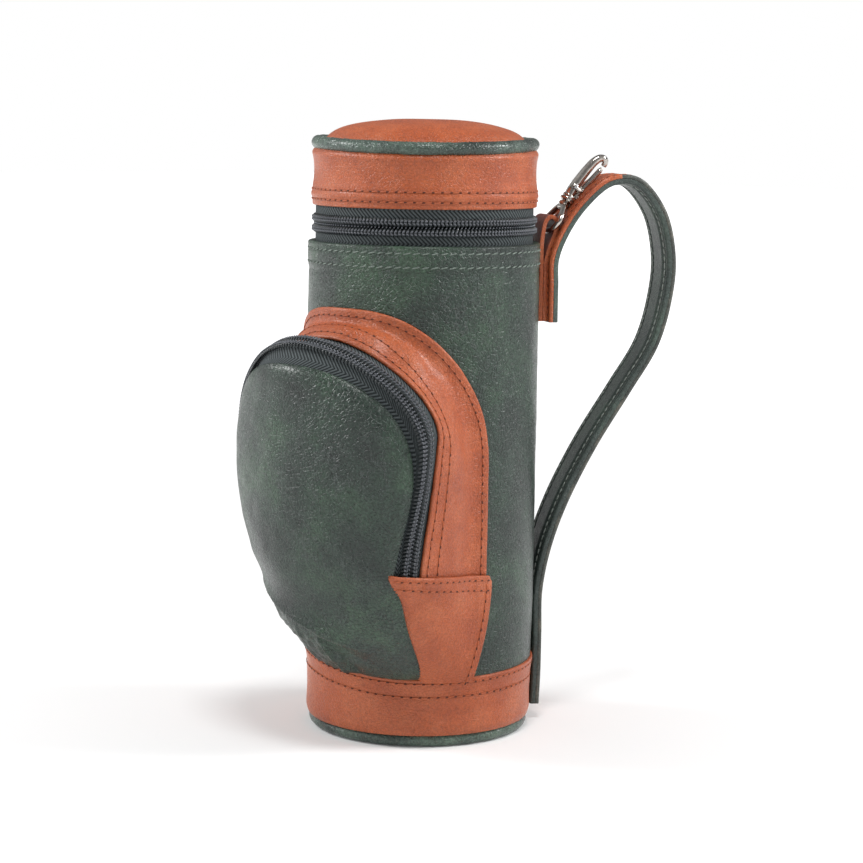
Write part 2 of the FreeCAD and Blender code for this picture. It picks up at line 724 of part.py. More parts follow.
def pocket_slider():
    """Slider drawn with its face towards +X, its run along +Z and the flap towards +Y."""
    front_plate = box((POCKET_FACE, POCKET_FACE + PLATE), (-5.5, 4.2), (-4.6, 4.6))
    lip = box((0.1, POCKET_FACE), (-5.5, -4.5), (-4.6, 4.6))
    arch_top = POCKET_FACE + PLATE + 2 * PULL_GAP + PULL
    arch_box = box((POCKET_FACE, arch_top + 0.7), (-0.8, 0.8), (-3.4, 2.0))
    window = box((POCKET_FACE, arch_top), (-1, 1), (-2.6, 1.2))
    return front_plate.fuse([lip, arch_box.cut(window)]).removeSplitter()


run = chain_point(SLIDE_HEAD) - chain_point(SLIDE_FOOT)
run.normalize()
facing = Vector(0, -1, 0).cross(run)
facing.normalize()
AT_POCKET = Placement(chain_point(SLIDE_HEAD), Rotation(facing, run.cross(facing), run, "ZXY"))
feature("pocket_slider", pocket_slider(), AT_POCKET)

# The pouch's tab hangs straight down although the chain leans.
pocket_hanger = AT_POCKET.multVec(Vector(POCKET_FACE + CROSS_BAR, 0, -1.9))
plumb = Vector(0, 0, 1)
level = Vector(facing.x, facing.y, 0)
level.normalize()
feature("pocket_pull", pull_tab(11.5),
        Placement(pocket_hanger, Rotation(level, plumb.cross(level), plumb, "ZXY")))

# ---------------------------------------------------------------- check and export

doc.recompute()
for obj in doc.Objects:
    if "Invalid" in obj.State or "Error" in obj.State:
        raise RuntimeError("failed: %s %s" % (obj.Label, obj.State))
for obj in parts:
    if obj.Shape.isNull() or not obj.Shape.isValid() or not obj.Shape.Solids:
        raise RuntimeError("bad shape: " + obj.Label)

os.makedirs("parts", exist_ok=True)
for obj in parts:
    obj.Shape.exportStep("parts/%s.step" % obj.Label)
    print("%-24s %9.1f mm3 %d solid" % (obj.Label, obj.Shape.Volume, len(obj.Shape.Solids)))
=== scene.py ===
import math

import bmesh
import bpy
import numpy as np
from mathutils import Matrix


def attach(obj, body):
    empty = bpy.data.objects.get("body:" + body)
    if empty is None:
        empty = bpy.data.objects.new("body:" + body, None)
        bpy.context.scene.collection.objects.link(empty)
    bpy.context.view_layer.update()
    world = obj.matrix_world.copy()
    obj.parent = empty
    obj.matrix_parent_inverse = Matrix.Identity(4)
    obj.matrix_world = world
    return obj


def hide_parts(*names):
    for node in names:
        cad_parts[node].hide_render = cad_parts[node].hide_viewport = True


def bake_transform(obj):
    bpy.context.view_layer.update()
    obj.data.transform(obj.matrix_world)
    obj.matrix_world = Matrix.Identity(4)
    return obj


# Golf-bag-shaped cigar case. Shapes are worked out in millimetres and stored in metres.
# Z is up, the pouch faces -Y, and a heading is an angle about Z from -Y towards +X.

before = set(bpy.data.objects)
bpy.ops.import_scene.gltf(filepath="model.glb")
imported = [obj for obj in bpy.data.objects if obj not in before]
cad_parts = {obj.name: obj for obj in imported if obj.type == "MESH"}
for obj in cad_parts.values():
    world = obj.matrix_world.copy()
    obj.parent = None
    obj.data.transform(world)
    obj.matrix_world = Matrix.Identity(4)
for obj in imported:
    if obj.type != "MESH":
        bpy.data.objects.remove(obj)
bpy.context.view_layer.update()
MM = 0.001
UP = np.array([0.0, 0.0, 1.0])


# ---- numbers and frames

def unit(v):
    v = np.asarray(v, float)
    return v / np.maximum(np.linalg.norm(v, axis=-1, keepdims=True), 1e-12)


def outward(heading, radius, height):
    """Point (or points) at a heading in degrees, a radius and a height."""
    a, radius = np.radians(heading), np.asarray(radius)
    return np.stack(np.broadcast_arrays(radius * np.sin(a), -radius * np.cos(a), height), -1)


def travelled(points):
    """Distance from a line's first point to each of its points."""
    steps = np.linalg.norm(np.diff(points, axis=0), axis=1)
    return np.concatenate([[0], np.cumsum(steps)])


def sampled(at, along, values):
    """Rows of three values, read off at other places along a line."""
    return np.stack([np.interp(at, along, values[:, k]) for k in range(3)], -1)


def resample(points, count):
    """Same line with evenly spaced points."""
    points = np.asarray(points, float)
    along = travelled(points)
    return sampled(np.linspace(0, along[-1], count), along, points)


def between(t, start, end, a, b):
    """Runs from a to b as t runs from start to end."""
    return (end - t) / (end - start) * a + (t - start) / (end - start) * b


def spline(points, count):
    """Smooth line through points (centripetal Catmull-Rom), evenly spaced."""
    p = np.asarray(points, float)
    p = np.vstack([2 * p[0] - p[1], p, 2 * p[-1] - p[-2]])
    out = []
    for i in range(1, len(p) - 2):
        p0, p1, p2, p3 = p[i - 1:i + 3]
        t0 = 0.0
        t1 = t0 + np.linalg.norm(p1 - p0) ** 0.5
        t2 = t1 + np.linalg.norm(p2 - p1) ** 0.5
        t3 = t2 + np.linalg.norm(p3 - p2) ** 0.5
        t = np.linspace(t1, t2, 24, endpoint=False)[:, None]
        a1, a2, a3 = (between(t, t0, t1, p0, p1), between(t, t1, t2, p1, p2),
                      between(t, t2, t3, p2, p3))
        b1, b2 = between(t, t0, t2, a1, a2), between(t, t1, t3, a2, a3)
        out.append(between(t, t1, t2, b1, b2))
    out.append(p[-2][None])
    return resample(np.vstack(out), count)


def around(count):
    """Evenly spaced angles of a full turn."""
    return np.linspace(0, 2 * math.pi, count, endpoint=False)


def smooth(x):
    """Rises softly from 0 to 1."""
    x = np.clip(x, 0, 1)
    return x * x * (3 - 2 * x)


NOISE_WAVES = 7


def value_noise(points, scale, seed):
    """Smooth random field, about -1 to 1, with features of a given size in millimetres."""
    rng = np.random.default_rng(seed)
    total = np.zeros(points.shape[:-1])
    for _ in range(NOISE_WAVES):
        direction = unit(rng.normal(size=3))
        wave = 2 * math.pi / (scale * rng.uniform(0.8, 1.7))
        bend = unit(rng.normal(size=3))
        warp = 0.9 * np.sin(points @ bend * wave * 0.53 + rng.uniform(0, 6.28))
        total += np.sin(points @ direction * wave + rng.uniform(0, 6.28) + warp)
    return total / 3.6


# ---- meshes

def placed(name, data):
    """New object in the scene."""
    obj = bpy.data.objects.new(name, data)
    bpy.context.scene.collection.objects.link(obj)
    return obj


def add_mesh(name, verts, faces, material, body, uv=None, hard=None):
    """One closed mesh from points in millimetres, with its faces turned outwards."""
    mesh = bpy.data.meshes.new(name)
    verts = np.asarray(verts).reshape(-1, 3) * MM
    mesh.from_pydata(verts.tolist(), [], [tuple(f) for f in faces])
    bm = bmesh.new()
    bm.from_mesh(mesh)
    bmesh.ops.recalc_face_normals(bm, faces=bm.faces)
    bm.to_mesh(mesh)
    bm.free()
    mesh.polygons.foreach_set("use_smooth", [True] * len(mesh.polygons))
    if uv is not None:
        layer = mesh.uv_layers.new(name="cloth")
        loops = np.zeros(len(mesh.loops), int)
        mesh.loops.foreach_get("vertex_index", loops)
        layer.data.foreach_set("uv", (np.asarray(uv)[loops] * MM).ravel())
    mesh.validate()
    if hard is not None:
        mesh.set_sharp_from_angle(angle=math.radians(hard))
    obj = placed(name, mesh)
    mesh.materials.append(material)
    if body:
        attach(obj, body)
    return obj


def quads(rows, cols, wrap_rows=False, wrap_cols=False, flip=False):
    """Faces of a grid of rows by cols points."""
    i = np.arange(rows if wrap_rows else rows - 1)
    j = np.arange(cols if wrap_cols else cols - 1)
    i, j = np.meshgrid(i, j, indexing="ij")
    i2 = (i + 1) % rows
    j2 = (j + 1) % cols
    f = np.stack([i * cols + j, i2 * cols + j, i2 * cols + j2, i * cols + j2], -1).reshape(-1, 4)
    return f[:, ::-1] if flip else f


def caps(rows, cols):
    """The two end faces of a grid that is closed across."""
    first = list(range(cols))
    return [first, [(rows - 1) * cols + k for k in first[::-1]]]


def paired(along, across):
    """Flat coordinates for a grid of points, one pair each."""
    return np.stack(np.meshgrid(along, across, indexing="ij"), -1).reshape(-1, 2)


NORMAL_PASSES = 3


def grid_normals(grid):
    """Smoothed unit normals of a grid: along its rows crossed with along its columns."""
    normal = np.cross(np.gradient(grid, axis=0), np.gradient(grid, axis=1))
    for _ in range(NORMAL_PASSES):
        wide = np.pad(normal, ((1, 1), (1, 1), (0, 0)), mode="edge")
        normal = (wide[1:-1, 1:-1] * 2 + wide[:-2, 1:-1] + wide[2:, 1:-1] + wide[1:-1, :-2]
                  + wide[1:-1, 2:]) / 6
    return unit(normal)


def slab(name, grid, skin, material, body, flip=False, rings=3):
    """Closed leather sheet: grid is its outer face, skin its thickness, its rim rounded."""
    normal = grid_normals(grid) * (-1 if flip else 1)
    rows, cols = grid.shape[:2]
    index = np.arange(rows * cols).reshape(rows, cols)
    loop = np.concatenate([index[:, 0], index[-1, 1:], index[-2::-1, -1], index[0, -2:0:-1]])
    flat, up = grid.reshape(-1, 3), normal.reshape(-1, 3)
    edge, edge_up = flat[loop], up[loop]
    run = unit(np.roll(edge, -1, 0) - np.roll(edge, 1, 0))
    away = unit(np.cross(run, edge_up))
    if np.sum((edge - flat.mean(0)) * away) < 0:
        away = -away
    middle = edge - edge_up * skin / 2
    layers = [flat, flat - up * skin]
    for t in np.linspace(0, math.pi, rings + 2)[1:-1]:
        layers.append(middle + (edge_up * math.cos(t) + away * math.sin(t)) * skin / 2)
    half = rows * cols
    faces = quads(rows, cols).tolist() + (quads(rows, cols) + half).tolist()
    count = len(loop)
    chains = ([loop] + [2 * half + k * count + np.arange(count) for k in range(rings)]
              + [loop + half])
    for one, two in zip(chains, chains[1:]):
        after_one, after_two = np.roll(one, -1), np.roll(two, -1)
        faces += np.stack([one, after_one, after_two, two], 1).tolist()
    uv = paired(travelled(grid[:, cols // 2]), travelled(grid[rows // 2]))
    uv = np.concatenate([uv, uv] + [uv[loop]] * rings)
    return add_mesh(name, np.concatenate(layers), faces, material, body, uv)


def turned(name, profile, material, body, count, shift=None, heading=0.0, span=360.0):
    """Closed (radius, height) outline turned about Z, or part of a turn with flat ends."""
    whole = span >= 360
    angles = heading + np.linspace(-span / 2, span / 2, count + 1)
    if whole:
        angles = angles[:count]
    pts = outward(angles[:, None], profile[None, :, 0], profile[None, :, 1])
    if shift is not None:
        pts = pts + shift(pts)
    rows, cols = pts.shape[:2]
    faces = quads(rows, cols, whole, True, True).tolist()
    if not whole:
        faces += caps(rows, cols)
    uv = paired(np.radians(angles) * profile[:, 0].max(), travelled(profile))
    return add_mesh(name, pts, faces, material, body, uv)


def tube(name, points, radii, material, body, sides, side, squash=1.0, closed=False):
    """Round or flattened bar along a line; side is the direction of its flattened face."""
    points = np.asarray(points, float)
    radii = np.broadcast_to(np.asarray(radii, float), (len(points),))
    if closed:
        along = unit(np.roll(points, -1, 0) - np.roll(points, 1, 0))
    else:
        along = unit(np.gradient(points, axis=0))
    across = unit(np.cross(along, np.broadcast_to(side, along.shape)))
    up = np.cross(across, along)
    turn = around(sides)
    ring = (points[:, None] + radii[:, None, None] * (
        across[:, None] * np.cos(turn)[None, :, None]
        + squash * up[:, None] * np.sin(turn)[None, :, None]))
    faces = quads(len(points), sides, closed, True).tolist()
    if not closed:
        faces += caps(len(points), sides)
    return add_mesh(name, ring, faces, material, body)


def scatter(name, verts, faces, frames, material, body):
    """Copies of one small mesh: frames are (origin, x, y, z) arrays, joined in one piece."""
    origin, x, y, z = frames
    verts = np.asarray(verts, float)
    pts = (origin[:, None] + verts[None, :, :1] * x[:, None] + verts[None, :, 1:2] * y[:, None]
           + verts[None, :, 2:] * z[:, None])
    faces = [np.asarray(f) for f in faces]
    step = len(verts)
    quad = np.array([f for f in faces if len(f) == 4])
    rest = [f for f in faces if len(f) != 4]
    shifts = np.arange(len(origin)) * step
    out = (quad[None] + shifts[:, None, None]).reshape(-1, 4).tolist()
    for f in rest:
        out += (f[None] + shifts[:, None]).tolist()
    return add_mesh(name, pts, out, material, body)


def pill(half, radius, flat=0.7, rings=6, sides=7):
    """Small thread: a long rounded bar along X."""
    verts = []
    for t in np.linspace(-0.97, 0.97, rings):
        r = radius * math.sqrt(1 - abs(t) ** 3)
        verts += [(half * t, r * math.cos(a), flat * r * math.sin(a)) for a in around(sides)]
    return np.array(verts), quads(rings, sides, False, True).tolist() + caps(rings, sides)


def path_frames(points, normals, pitch, start=0.5):
    """Evenly spaced (origin, along, across, out) along a line with given normals."""
    along = travelled(points)
    count = max(1, int(along[-1] / pitch))
    at = (np.arange(count) + start) * along[-1] / count
    nearby = pitch * 0.3
    x = unit(sampled(at + nearby, along, points) - sampled(at - nearby, along, points))
    y = unit(np.cross(unit(sampled(at, along, normals)), x))
    return sampled(at, along, points), x, y, np.cross(x, y)


STITCH = 2.9


def stitches(name, points, normals, thread, body, pitch=STITCH, width=0.24, lift=0.05, lean=0.1):
    """A row of machine stitches and, in tan leather, dark marks at the needle holes between them as
    painted shade.
    """
    origin, x, y, z = path_frames(points, normals, pitch)
    tilt = unit(x + lean * y)
    side = unit(np.cross(z, tilt))
    verts, faces = pill(pitch * 0.43, width)
    row = scatter(name, verts, faces, (origin + z * lift, tilt, side, z), thread, body)
    if thread is TAN_THREAD:
        # Dark pills at the needle holes: painted shade of the holes.
        origin, x, y, z = path_frames(points, normals, pitch, 0.0)
        verts, faces = pill(0.62, 0.27, 0.5)
        hole_shade_marks = scatter(name + "_hole_shade", verts, faces, (origin + z * 0.05, x, y, z), PAINTED_HOLE_SHADE, body)


# ---- materials

class Tree:
    """A small helper that adds nodes to a node tree."""

    def __init__(self, owner):
        owner.use_nodes = True
        self.tree = owner.node_tree

    def node(self, kind, settings=None, **inputs):
        n = self.tree.nodes.new("ShaderNode" + kind)
        for key, value in (settings or {}).items():
            setattr(n, key, value)
        for key, value in inputs.items():
            socket = n.inputs[int(key[1:])] if key[0] == "i" and key[1:].isdigit() \
                else n.inputs[key.replace("_", " ")]
            if isinstance(value, bpy.types.NodeSocket):
                self.tree.links.new(value, socket)
            else:
                socket.default_value = value
        return n

    def range(self, fac, low, high, out_low=0.0, out_high=1.0):
        return self.node("MapRange", {"clamp": True}, Value=fac, i1=low, i2=high, i3=out_low,
                         i4=out_high).outputs[0]

    def math(self, kind, a, b=0.0):
        return self.node("Math", {"operation": kind}, i0=a, i1=b).outputs[0]


class Paint(Tree):
    """One node material."""

    def __init__(self, name, base, roughness, **sockets):
        self.material = bpy.data.materials.new(name)
        super().__init__(self.material)
        self.shader = self.tree.nodes["Principled BSDF"]
        self.set(**{"Base Color": (*base, 1), "Roughness": roughness})
        self.set(**sockets)
        self.coords = None

    def set(self, **sockets):
        for key, value in sockets.items():
            self.shader.inputs[key.replace("_", " ")].default_value = value

    def place(self):
        if self.coords is None:
            self.coords = self.node("TexCoord").outputs["Object"]
        return self.coords

    def noise(self, size, detail=3.0, roughness=0.55, stretch=None):
        """Noise with features of a given size in millimetres."""
        where = self.place()
        if stretch:
            where = self.node("Mapping", Vector=where, Scale=stretch).outputs[0]
        return self.node("TexNoise", Vector=where, Scale=1000 / size, Detail=detail,
                         Roughness=roughness).outputs["Fac"]

    def cells(self, size, where):
        """Distance to the edges of cells of a given size in millimetres."""
        return self.node("TexVoronoi", {"feature": "DISTANCE_TO_EDGE"}, Vector=where,
                         Scale=1000 / size).outputs["Distance"]

    def ramp(self, fac, stops):
        n = self.node("ValToRGB", Fac=fac)
        ramp = n.color_ramp
        while len(ramp.elements) < len(stops):
            ramp.elements.new(0.5)
        for element, (at, colour) in zip(ramp.elements, stops):
            element.position = at
            element.color = (*colour, 1)
        return n.outputs["Color"]

    def mix(self, fac, a, b, kind="MIX"):
        a, b = ((*x, 1) if isinstance(x, tuple) else x for x in (a, b))
        return self.node("Mix", {"data_type": "RGBA", "blend_type": kind}, i0=fac, i6=a,
                         i7=b).outputs[2]

    def bump(self, layers):
        """Stack bump maps: (height, depth in millimetres) each."""
        last = None
        for height, depth in layers:
            n = self.node("Bump", Height=height, Strength=1.0, Distance=depth * MM)
            if last is not None:
                self.tree.links.new(last, n.inputs["Normal"])
            last = n.outputs["Normal"]
        self.tree.links.new(last, self.shader.inputs["Normal"])

    def link(self, socket, name):
        self.tree.links.new(socket, self.shader.inputs[name])


def leather(name, dark, middle, light, gloss, relief, mottle=22.0, crease_highlight=None, speck=0.5):
    """Pebbled leather: mottled dye, fine pores, soft creases, and pale lines painted along the
    creases as highlights.
    """
    p = Paint(name, middle, 0.45)
    pores, pebble_depth, grain_depth, crease = relief
    colour = p.ramp(p.noise(mottle, 4.0, 0.6), [(0.32, dark), (0.5, middle), (0.68, light)])
    fine = p.noise(0.7, 3.0, 0.7)
    dots = p.range(fine, 0.32, 0.68, 1 - 0.5 * speck, 1 + 0.5 * speck)
    tint = p.node("CombineColor", Red=dots, Green=dots, Blue=dots).outputs[0]
    colour = p.mix(1.0, colour, tint, "MULTIPLY")
    bend = p.noise(3.0, 2.0)
    where = p.node("VectorMath", {"operation": "MULTIPLY_ADD"}, i0=p.node(
        "CombineXYZ", X=bend, Y=bend, Z=bend).outputs[0], i1=(0.0009, 0.0009, 0.0009),
        i2=p.place()).outputs[0]
    pebble = p.range(p.cells(pores, where), 0.0, 0.16)
    grain = p.noise(0.4, 2.0)
    fold = p.noise(7.0, 6.0, 0.65, stretch=(1.0, 1.0, 0.6))
    soft = p.noise(26.0, 2.0, 0.5)
    line = p.range(p.math("ABSOLUTE", p.math("SUBTRACT", fold, 0.5)), 0.0, 0.022, 1.0, 0.0)
    line = p.math("MULTIPLY", line, p.range(p.noise(24.0, 2.0), 0.48, 0.60))
    # Pale colour along the crease lines: painted highlight where the creases catch light.
    if crease_highlight:
        colour = p.mix(p.math("MULTIPLY", line, p.range(fine, 0.4, 0.6, 0.25, 0.9)), colour, crease_highlight)
    p.link(colour, "Base Color")
    p.bump([(soft, 1.4), (line, crease), (pebble, pebble_depth), (grain, grain_depth)])
    p.link(p.range(p.noise(1.2, 3.0), 0.3, 0.7, gloss - 0.08, gloss + 0.10), "Roughness")
    p.set(Coat_Weight=0.14, Coat_Roughness=0.24, Specular_IOR_Level=0.42)
    return p.material


def woven(name, dark, light, pitch=1.4, band=11.0):
    """Herringbone tape, laid out by the piece's own length and width in millimetres."""
    p = Paint(name, dark, 0.8, Specular_IOR_Level=0.2)
    uv = p.node("UVMap").outputs[0]
    xyz = p.node("SeparateXYZ", Vector=uv)
    u = p.math("MULTIPLY", xyz.outputs[0], 1000.0)
    v = p.math("MULTIPLY", xyz.outputs[1], 1000.0)
    zig = p.math("PINGPONG", v, band / 2)
    wave = p.math("SINE", p.math("MULTIPLY", p.math("ADD", u, zig), 2 * math.pi / pitch))
    height = p.range(wave, -1.0, 1.0)
    yarn = p.noise(0.2, 1.0)
    p.link(p.mix(p.math("MULTIPLY", height, p.range(yarn, 0.3, 0.7, 0.5, 1.0)), dark, light),
           "Base Color")
    p.bump([(height, 0.12), (yarn, 0.05)])
    return p.material


def metal(name, base, roughness):
    p = Paint(name, base, roughness, Metallic=1.0)
    wear = p.noise(1.6, 4.0)
    p.link(p.mix(p.range(wear, 0.35, 0.7), tuple(0.72 * c for c in base), base), "Base Color")
    p.link(p.range(p.noise(0.8, 3.0), 0.3, 0.7, roughness - 0.06, roughness + 0.1), "Roughness")
    p.bump([(p.noise(2.5, 2.0), 0.06)])
    return p.material


def plain(name, dark, light, roughness, size, depth, **sockets):
    p = Paint(name, light, roughness, **sockets)
    field = p.noise(size, 4.0)
    p.link(p.ramp(field, [(0.3, dark), (0.7, light)]), "Base Color")
    p.bump([(field, depth)])
    return p.material


def cedar_wood(name):
    p = Paint(name, (0.56, 0.33, 0.2), 0.6)
    rings = p.noise(9.0, 3.0, 0.5, stretch=(0.09, 1.0, 0.4))
    fibre = p.noise(1.1, 3.0, 0.6, stretch=(0.05, 1.0, 1.0))
    pore = p.range(p.noise(0.7, 2.0, 0.5, stretch=(0.06, 1.0, 1.0)), 0.62, 0.7)
    colour = p.ramp(rings, [(0.3, (0.40, 0.205, 0.115)), (0.7, (0.60, 0.36, 0.235))])
    colour = p.mix(p.range(fibre, 0.3, 0.7, 0.0, 0.35), colour, (0.33, 0.16, 0.09))
    p.link(p.mix(pore, colour, (0.19, 0.085, 0.045)), "Base Color")
    p.bump([(fibre, 0.08), (pore, -0.08)])
    return p.material


GREEN = leather("green_leather", (0.014, 0.021, 0.018), (0.024, 0.042, 0.031),
                (0.038, 0.074, 0.044), 0.34, (1.3, 0.17, 0.11, 0.22), crease_highlight=(0.10, 0.125, 0.115),
                speck=1.2)
STRAP_GREEN = leather("strap_green", (0.030, 0.040, 0.036), (0.044, 0.060, 0.053),
                      (0.058, 0.086, 0.068), 0.42, (0.9, 0.06, 0.05, 0.02), speck=0.9)
STRAP_EDGE = leather("strap_edge", (0.034, 0.040, 0.036), (0.062, 0.068, 0.058),
                     (0.115, 0.110, 0.088), 0.5, (0.9, 0.06, 0.05, 0.02), mottle=6.0, speck=0.9)
# The piping's green is the tube's leather made lighter: painted highlight along the rolled piping.
LIT_PIPING_GREEN = leather("piping_leather", (0.014, 0.021, 0.018), (0.060, 0.088, 0.072),
                 (0.094, 0.142, 0.106), 0.27, (1.3, 0.10, 0.06, 0.12), speck=1.0)
TAN = leather("tan_leather", (0.325, 0.064, 0.018), (0.390, 0.084, 0.024),
              (0.450, 0.114, 0.040), 0.40, (1.1, 0.10, 0.07, 0.08), mottle=15.0, speck=0.45)
TAPE = woven("zip_tape", (0.009, 0.012, 0.013), (0.120, 0.140, 0.145))
COIL = plain("zip_coil", (0.012, 0.016, 0.018), (0.030, 0.037, 0.040), 0.33, 1.5, 0.03)
NICKEL = metal("nickel", (0.56, 0.52, 0.48), 0.16)
GREEN_THREAD = plain("green_thread", (0.07, 0.10, 0.08), (0.22, 0.26, 0.23), 0.6, 0.5, 0.08)
PALE_THREAD = plain("pale_thread", (0.16, 0.19, 0.17), (0.34, 0.37, 0.34), 0.6, 0.5, 0.08)
TAN_THREAD = plain("tan_thread", (0.30, 0.060, 0.018), (0.47, 0.115, 0.036), 0.6, 0.5, 0.08)
# Dark colour of the needle holes: painted shade.
PAINTED_HOLE_SHADE = plain("needle_hole_shade", (0.05, 0.012, 0.006), (0.12, 0.03, 0.014), 0.9, 0.5, 0.02)
LINING = plain("lining_cloth", (0.020, 0.024, 0.021), (0.045, 0.052, 0.046), 0.85, 0.5, 0.1)
BOARD = plain("fibre_board", (0.30, 0.27, 0.22), (0.46, 0.42, 0.36), 0.9, 1.2, 0.1)
CORD = plain("cotton_cord", (0.5, 0.46, 0.38), (0.66, 0.62, 0.54), 0.9, 0.4, 0.1)
FELT = plain("felt_pad", (0.5, 0.48, 0.43), (0.64, 0.62, 0.56), 0.95, 0.6, 0.15)
# Darker copy of the tan leather: painted shade for the hook strip's flat faces.
SHADED_TAN = leather("shaded_tan_leather", (0.13, 0.030, 0.022), (0.19, 0.045, 0.030),
                 (0.25, 0.066, 0.043), 0.5, (1.0, 0.05, 0.04, 0.02))
STEEL = metal("spring_steel", (0.42, 0.42, 0.43), 0.28)
CEDAR = cedar_wood("cedar")

for material, node_names in (
        (BOARD, ("body_core", "base_board", "lid_core", "lid_board")),
        (LINING, ("body_lining", "base_lining", "lid_lining")),
        (CORD, ("base_piping_cord", "lid_piping_cord")),
        (GREEN, ("base_panel", "hinge_lower", "hinge_upper")),
        (NICKEL, ("body_zip_stops", "lid_zip_stops", "zip_slider", "zip_pull", "pocket_slider",
                  "pocket_pull", "gate_pin")),
        (CEDAR, ("cedar_block",)), (FELT, ("lid_pad",)), (STEEL, ("gate_spring",))):
    for node_name in node_names:
        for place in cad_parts[node_name].material_slots:
            place.material = material

# ---- turned leather

def rounded(corners, radius, steps=5):
    """Closed outline with its corners rounded."""
    corners = np.asarray(corners, float)
    out = []
    count = len(corners)
    for k in range(count):
        a, b, c = corners[k - 1], corners[k], corners[(k + 1) % count]
        cut = min(radius, np.linalg.norm(a - b) * 0.45, np.linalg.norm(c - b) * 0.45)
        p, q = b + unit(a - b) * cut, b + unit(c - b) * cut
        for t in np.linspace(0, 1, steps):
            out.append((1 - t) ** 2 * p + 2 * t * (1 - t) * b + t * t * q)
    return np.array(out)


def finer(outline, step=0.8):
    """Adds points along the long sides of a closed outline."""
    out = []
    for a, b in zip(outline, np.roll(outline, -1, 0)):
        pieces = max(1, int(np.linalg.norm(b - a) / step))
        for t in range(pieces):
            out.append(a + (b - a) * t / pieces)
    return np.array(out)


def dip(height, centre, width):
    """Soft groove a row of stitches pulls into the leather."""
    return np.exp(-((height - centre) / width) ** 2)


def radial(points):
    """Directions straight away from the tube's axis."""
    return unit(points * np.array([1, 1, 0]))


def from_axis(points):
    return np.linalg.norm(points[..., :2], axis=-1)


HEM_ROWS = (159.0, 154.6)
SLEEVE_TOP = 161.3


def sleeve_shift(points):
    z = points[..., 2]
    outer = from_axis(points) > 37.0
    move = -0.16 * sum(dip(z, row, 0.7) for row in HEM_ROWS)
    move += 0.12 * value_noise(points, 28, 3) * smooth((z - 30) / 15)
    move += 0.05 * value_noise(points, 7, 4)
    move -= 0.30 * dip(z, 152.3, 1.2)
    return radial(points) * (move * outer)[..., None]


body_wall = finer(rounded([(36.3, 22.5), (37.5, 22.5), (38.0, 45.0), (37.9, 150.0),
                           (38.1, 153.0), (38.15, 158.0), (38.05, SLEEVE_TOP), (35.7, SLEEVE_TOP),
                           (35.7, 150.2), (36.3, 149.8)], 0.9))
sleeve = turned("tube_leather", body_wall, GREEN, "case", 300, sleeve_shift)
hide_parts("body_sleeve")


def ring_line(radius, height, heading=0.0, span=360.0, count=400):
    """Level line round the tube, or part of the way round, and its outward directions."""
    angles = heading + np.linspace(-span / 2, span / 2, count)
    line = outward(angles, radius, height)
    return line, radial(line)


def stitched(name, rows, thread, body, rise=None, **looks):
    """Rows of stitches round the tube, each at a (radius, height)."""
    for index, (radius, height) in enumerate(rows):
        line, out = ring_line(radius, height)
        if rise:
            line = line + rise(line)
        stitches("%s_stitches_%d" % (name, index), line, out, thread, body, **looks)


stitched("hem", [(38.02, row) for row in HEM_ROWS], GREEN_THREAD, "case", lift=0.08, lean=0.22)

BAND_ROWS = (21.3, 16.8)
FACE = 41.0
FACING = outward(FACE, 1.0, 0.0)
RIGHT = outward(FACE + 90, 1.0, 0.0)


def band_rise(points):
    """The band is cut a little higher at both sides, most under the pouch's far corner."""
    side = radial(points) @ RIGHT
    height = 0.7 * np.maximum(side, 0) ** 2 + 4.2 * np.maximum(-side, 0) ** 2
    return (height * smooth((points[..., 2] - 9) / 10))[..., None] * UP


def band_shift(points):
    z = points[..., 2]
    outer = from_axis(points) > 36.8
    move = -0.14 * sum(dip(z, row, 0.7) for row in BAND_ROWS)
    move += 0.1 * value_noise(points, 20, 5)
    return radial(points) * (move * outer)[..., None] + band_rise(points)


foot_band = finer(rounded([(36.3, 4.0), (36.9, 4.0), (37.5, 6.0), (37.3, 12.0), (37.6, 18.0),
                           (38.4, 22.9), (36.3, 22.9)], 0.8), 0.6)
band = turned("foot_band", foot_band, TAN, "case", 260, band_shift)
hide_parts("bottom_band")
stitched("band", zip((38.05, 37.5), BAND_ROWS), TAN_THREAD, "case", band_rise)

LID_ROWS = (174.9, 178.1)


def lid_lean(points):
    """The soft top sits low at the front and a little high at the sides."""
    front = points @ FACING / 36
    lean = 0.6 - 0.75 * front - 0.75 * front ** 2
    return (lean * smooth((points[..., 2] - 179) / 12))[..., None] * UP


def lid_shift(points):
    z = points[..., 2]
    outer = from_axis(points) > 35.9
    waist = -0.55 * np.sin(np.clip((z - 178) / 11.5, 0, 1) * math.pi)
    move = waist - 0.15 * sum(dip(z, row, 0.7) for row in LID_ROWS)
    move += 0.22 * dip(z, 176.5, 1.0) + 0.08 * value_noise(points, 18, 6)
    return radial(points) * (move * outer)[..., None] + lid_lean(points)


lid_wall = finer(rounded([(35.7, 172.8), (36.7, 172.8), (37.0, 176.0), (36.9, 180.0),
                          (36.9, 187.0), (37.1, 189.6), (36.0, 191.0), (35.7, 190.3)], 0.8), 0.6)
lid_band = turned("lid_band_leather", lid_wall, TAN, "lid", 260, lid_shift)
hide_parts("lid_band")
stitched("lid", [(36.95, row) for row in LID_ROWS], TAN_THREAD, "lid")


def piping(name, ring, height, tube_radius, body, node):
    """Leather rolled round a cord, in a ring of a given radius."""
    turn = around(28)
    outline = np.stack([ring + tube_radius * np.cos(turn), height + tube_radius * np.sin(turn)], 1)

    def shift(points):
        centre = radial(points) * ring + UP * height
        wave = unit(points - centre) * (0.09 * value_noise(points, 5, 8))[..., None]
        return wave + lid_lean(points)

    piece = turned(name, outline, LIT_PIPING_GREEN, body, 300, shift)
    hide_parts(node)


piping("base_piping_leather", 34.4, 2.25, 2.1, "case", "base_piping")
piping("lid_piping_leather", 35.1, 192.5, 2.15, "lid", "lid_piping")

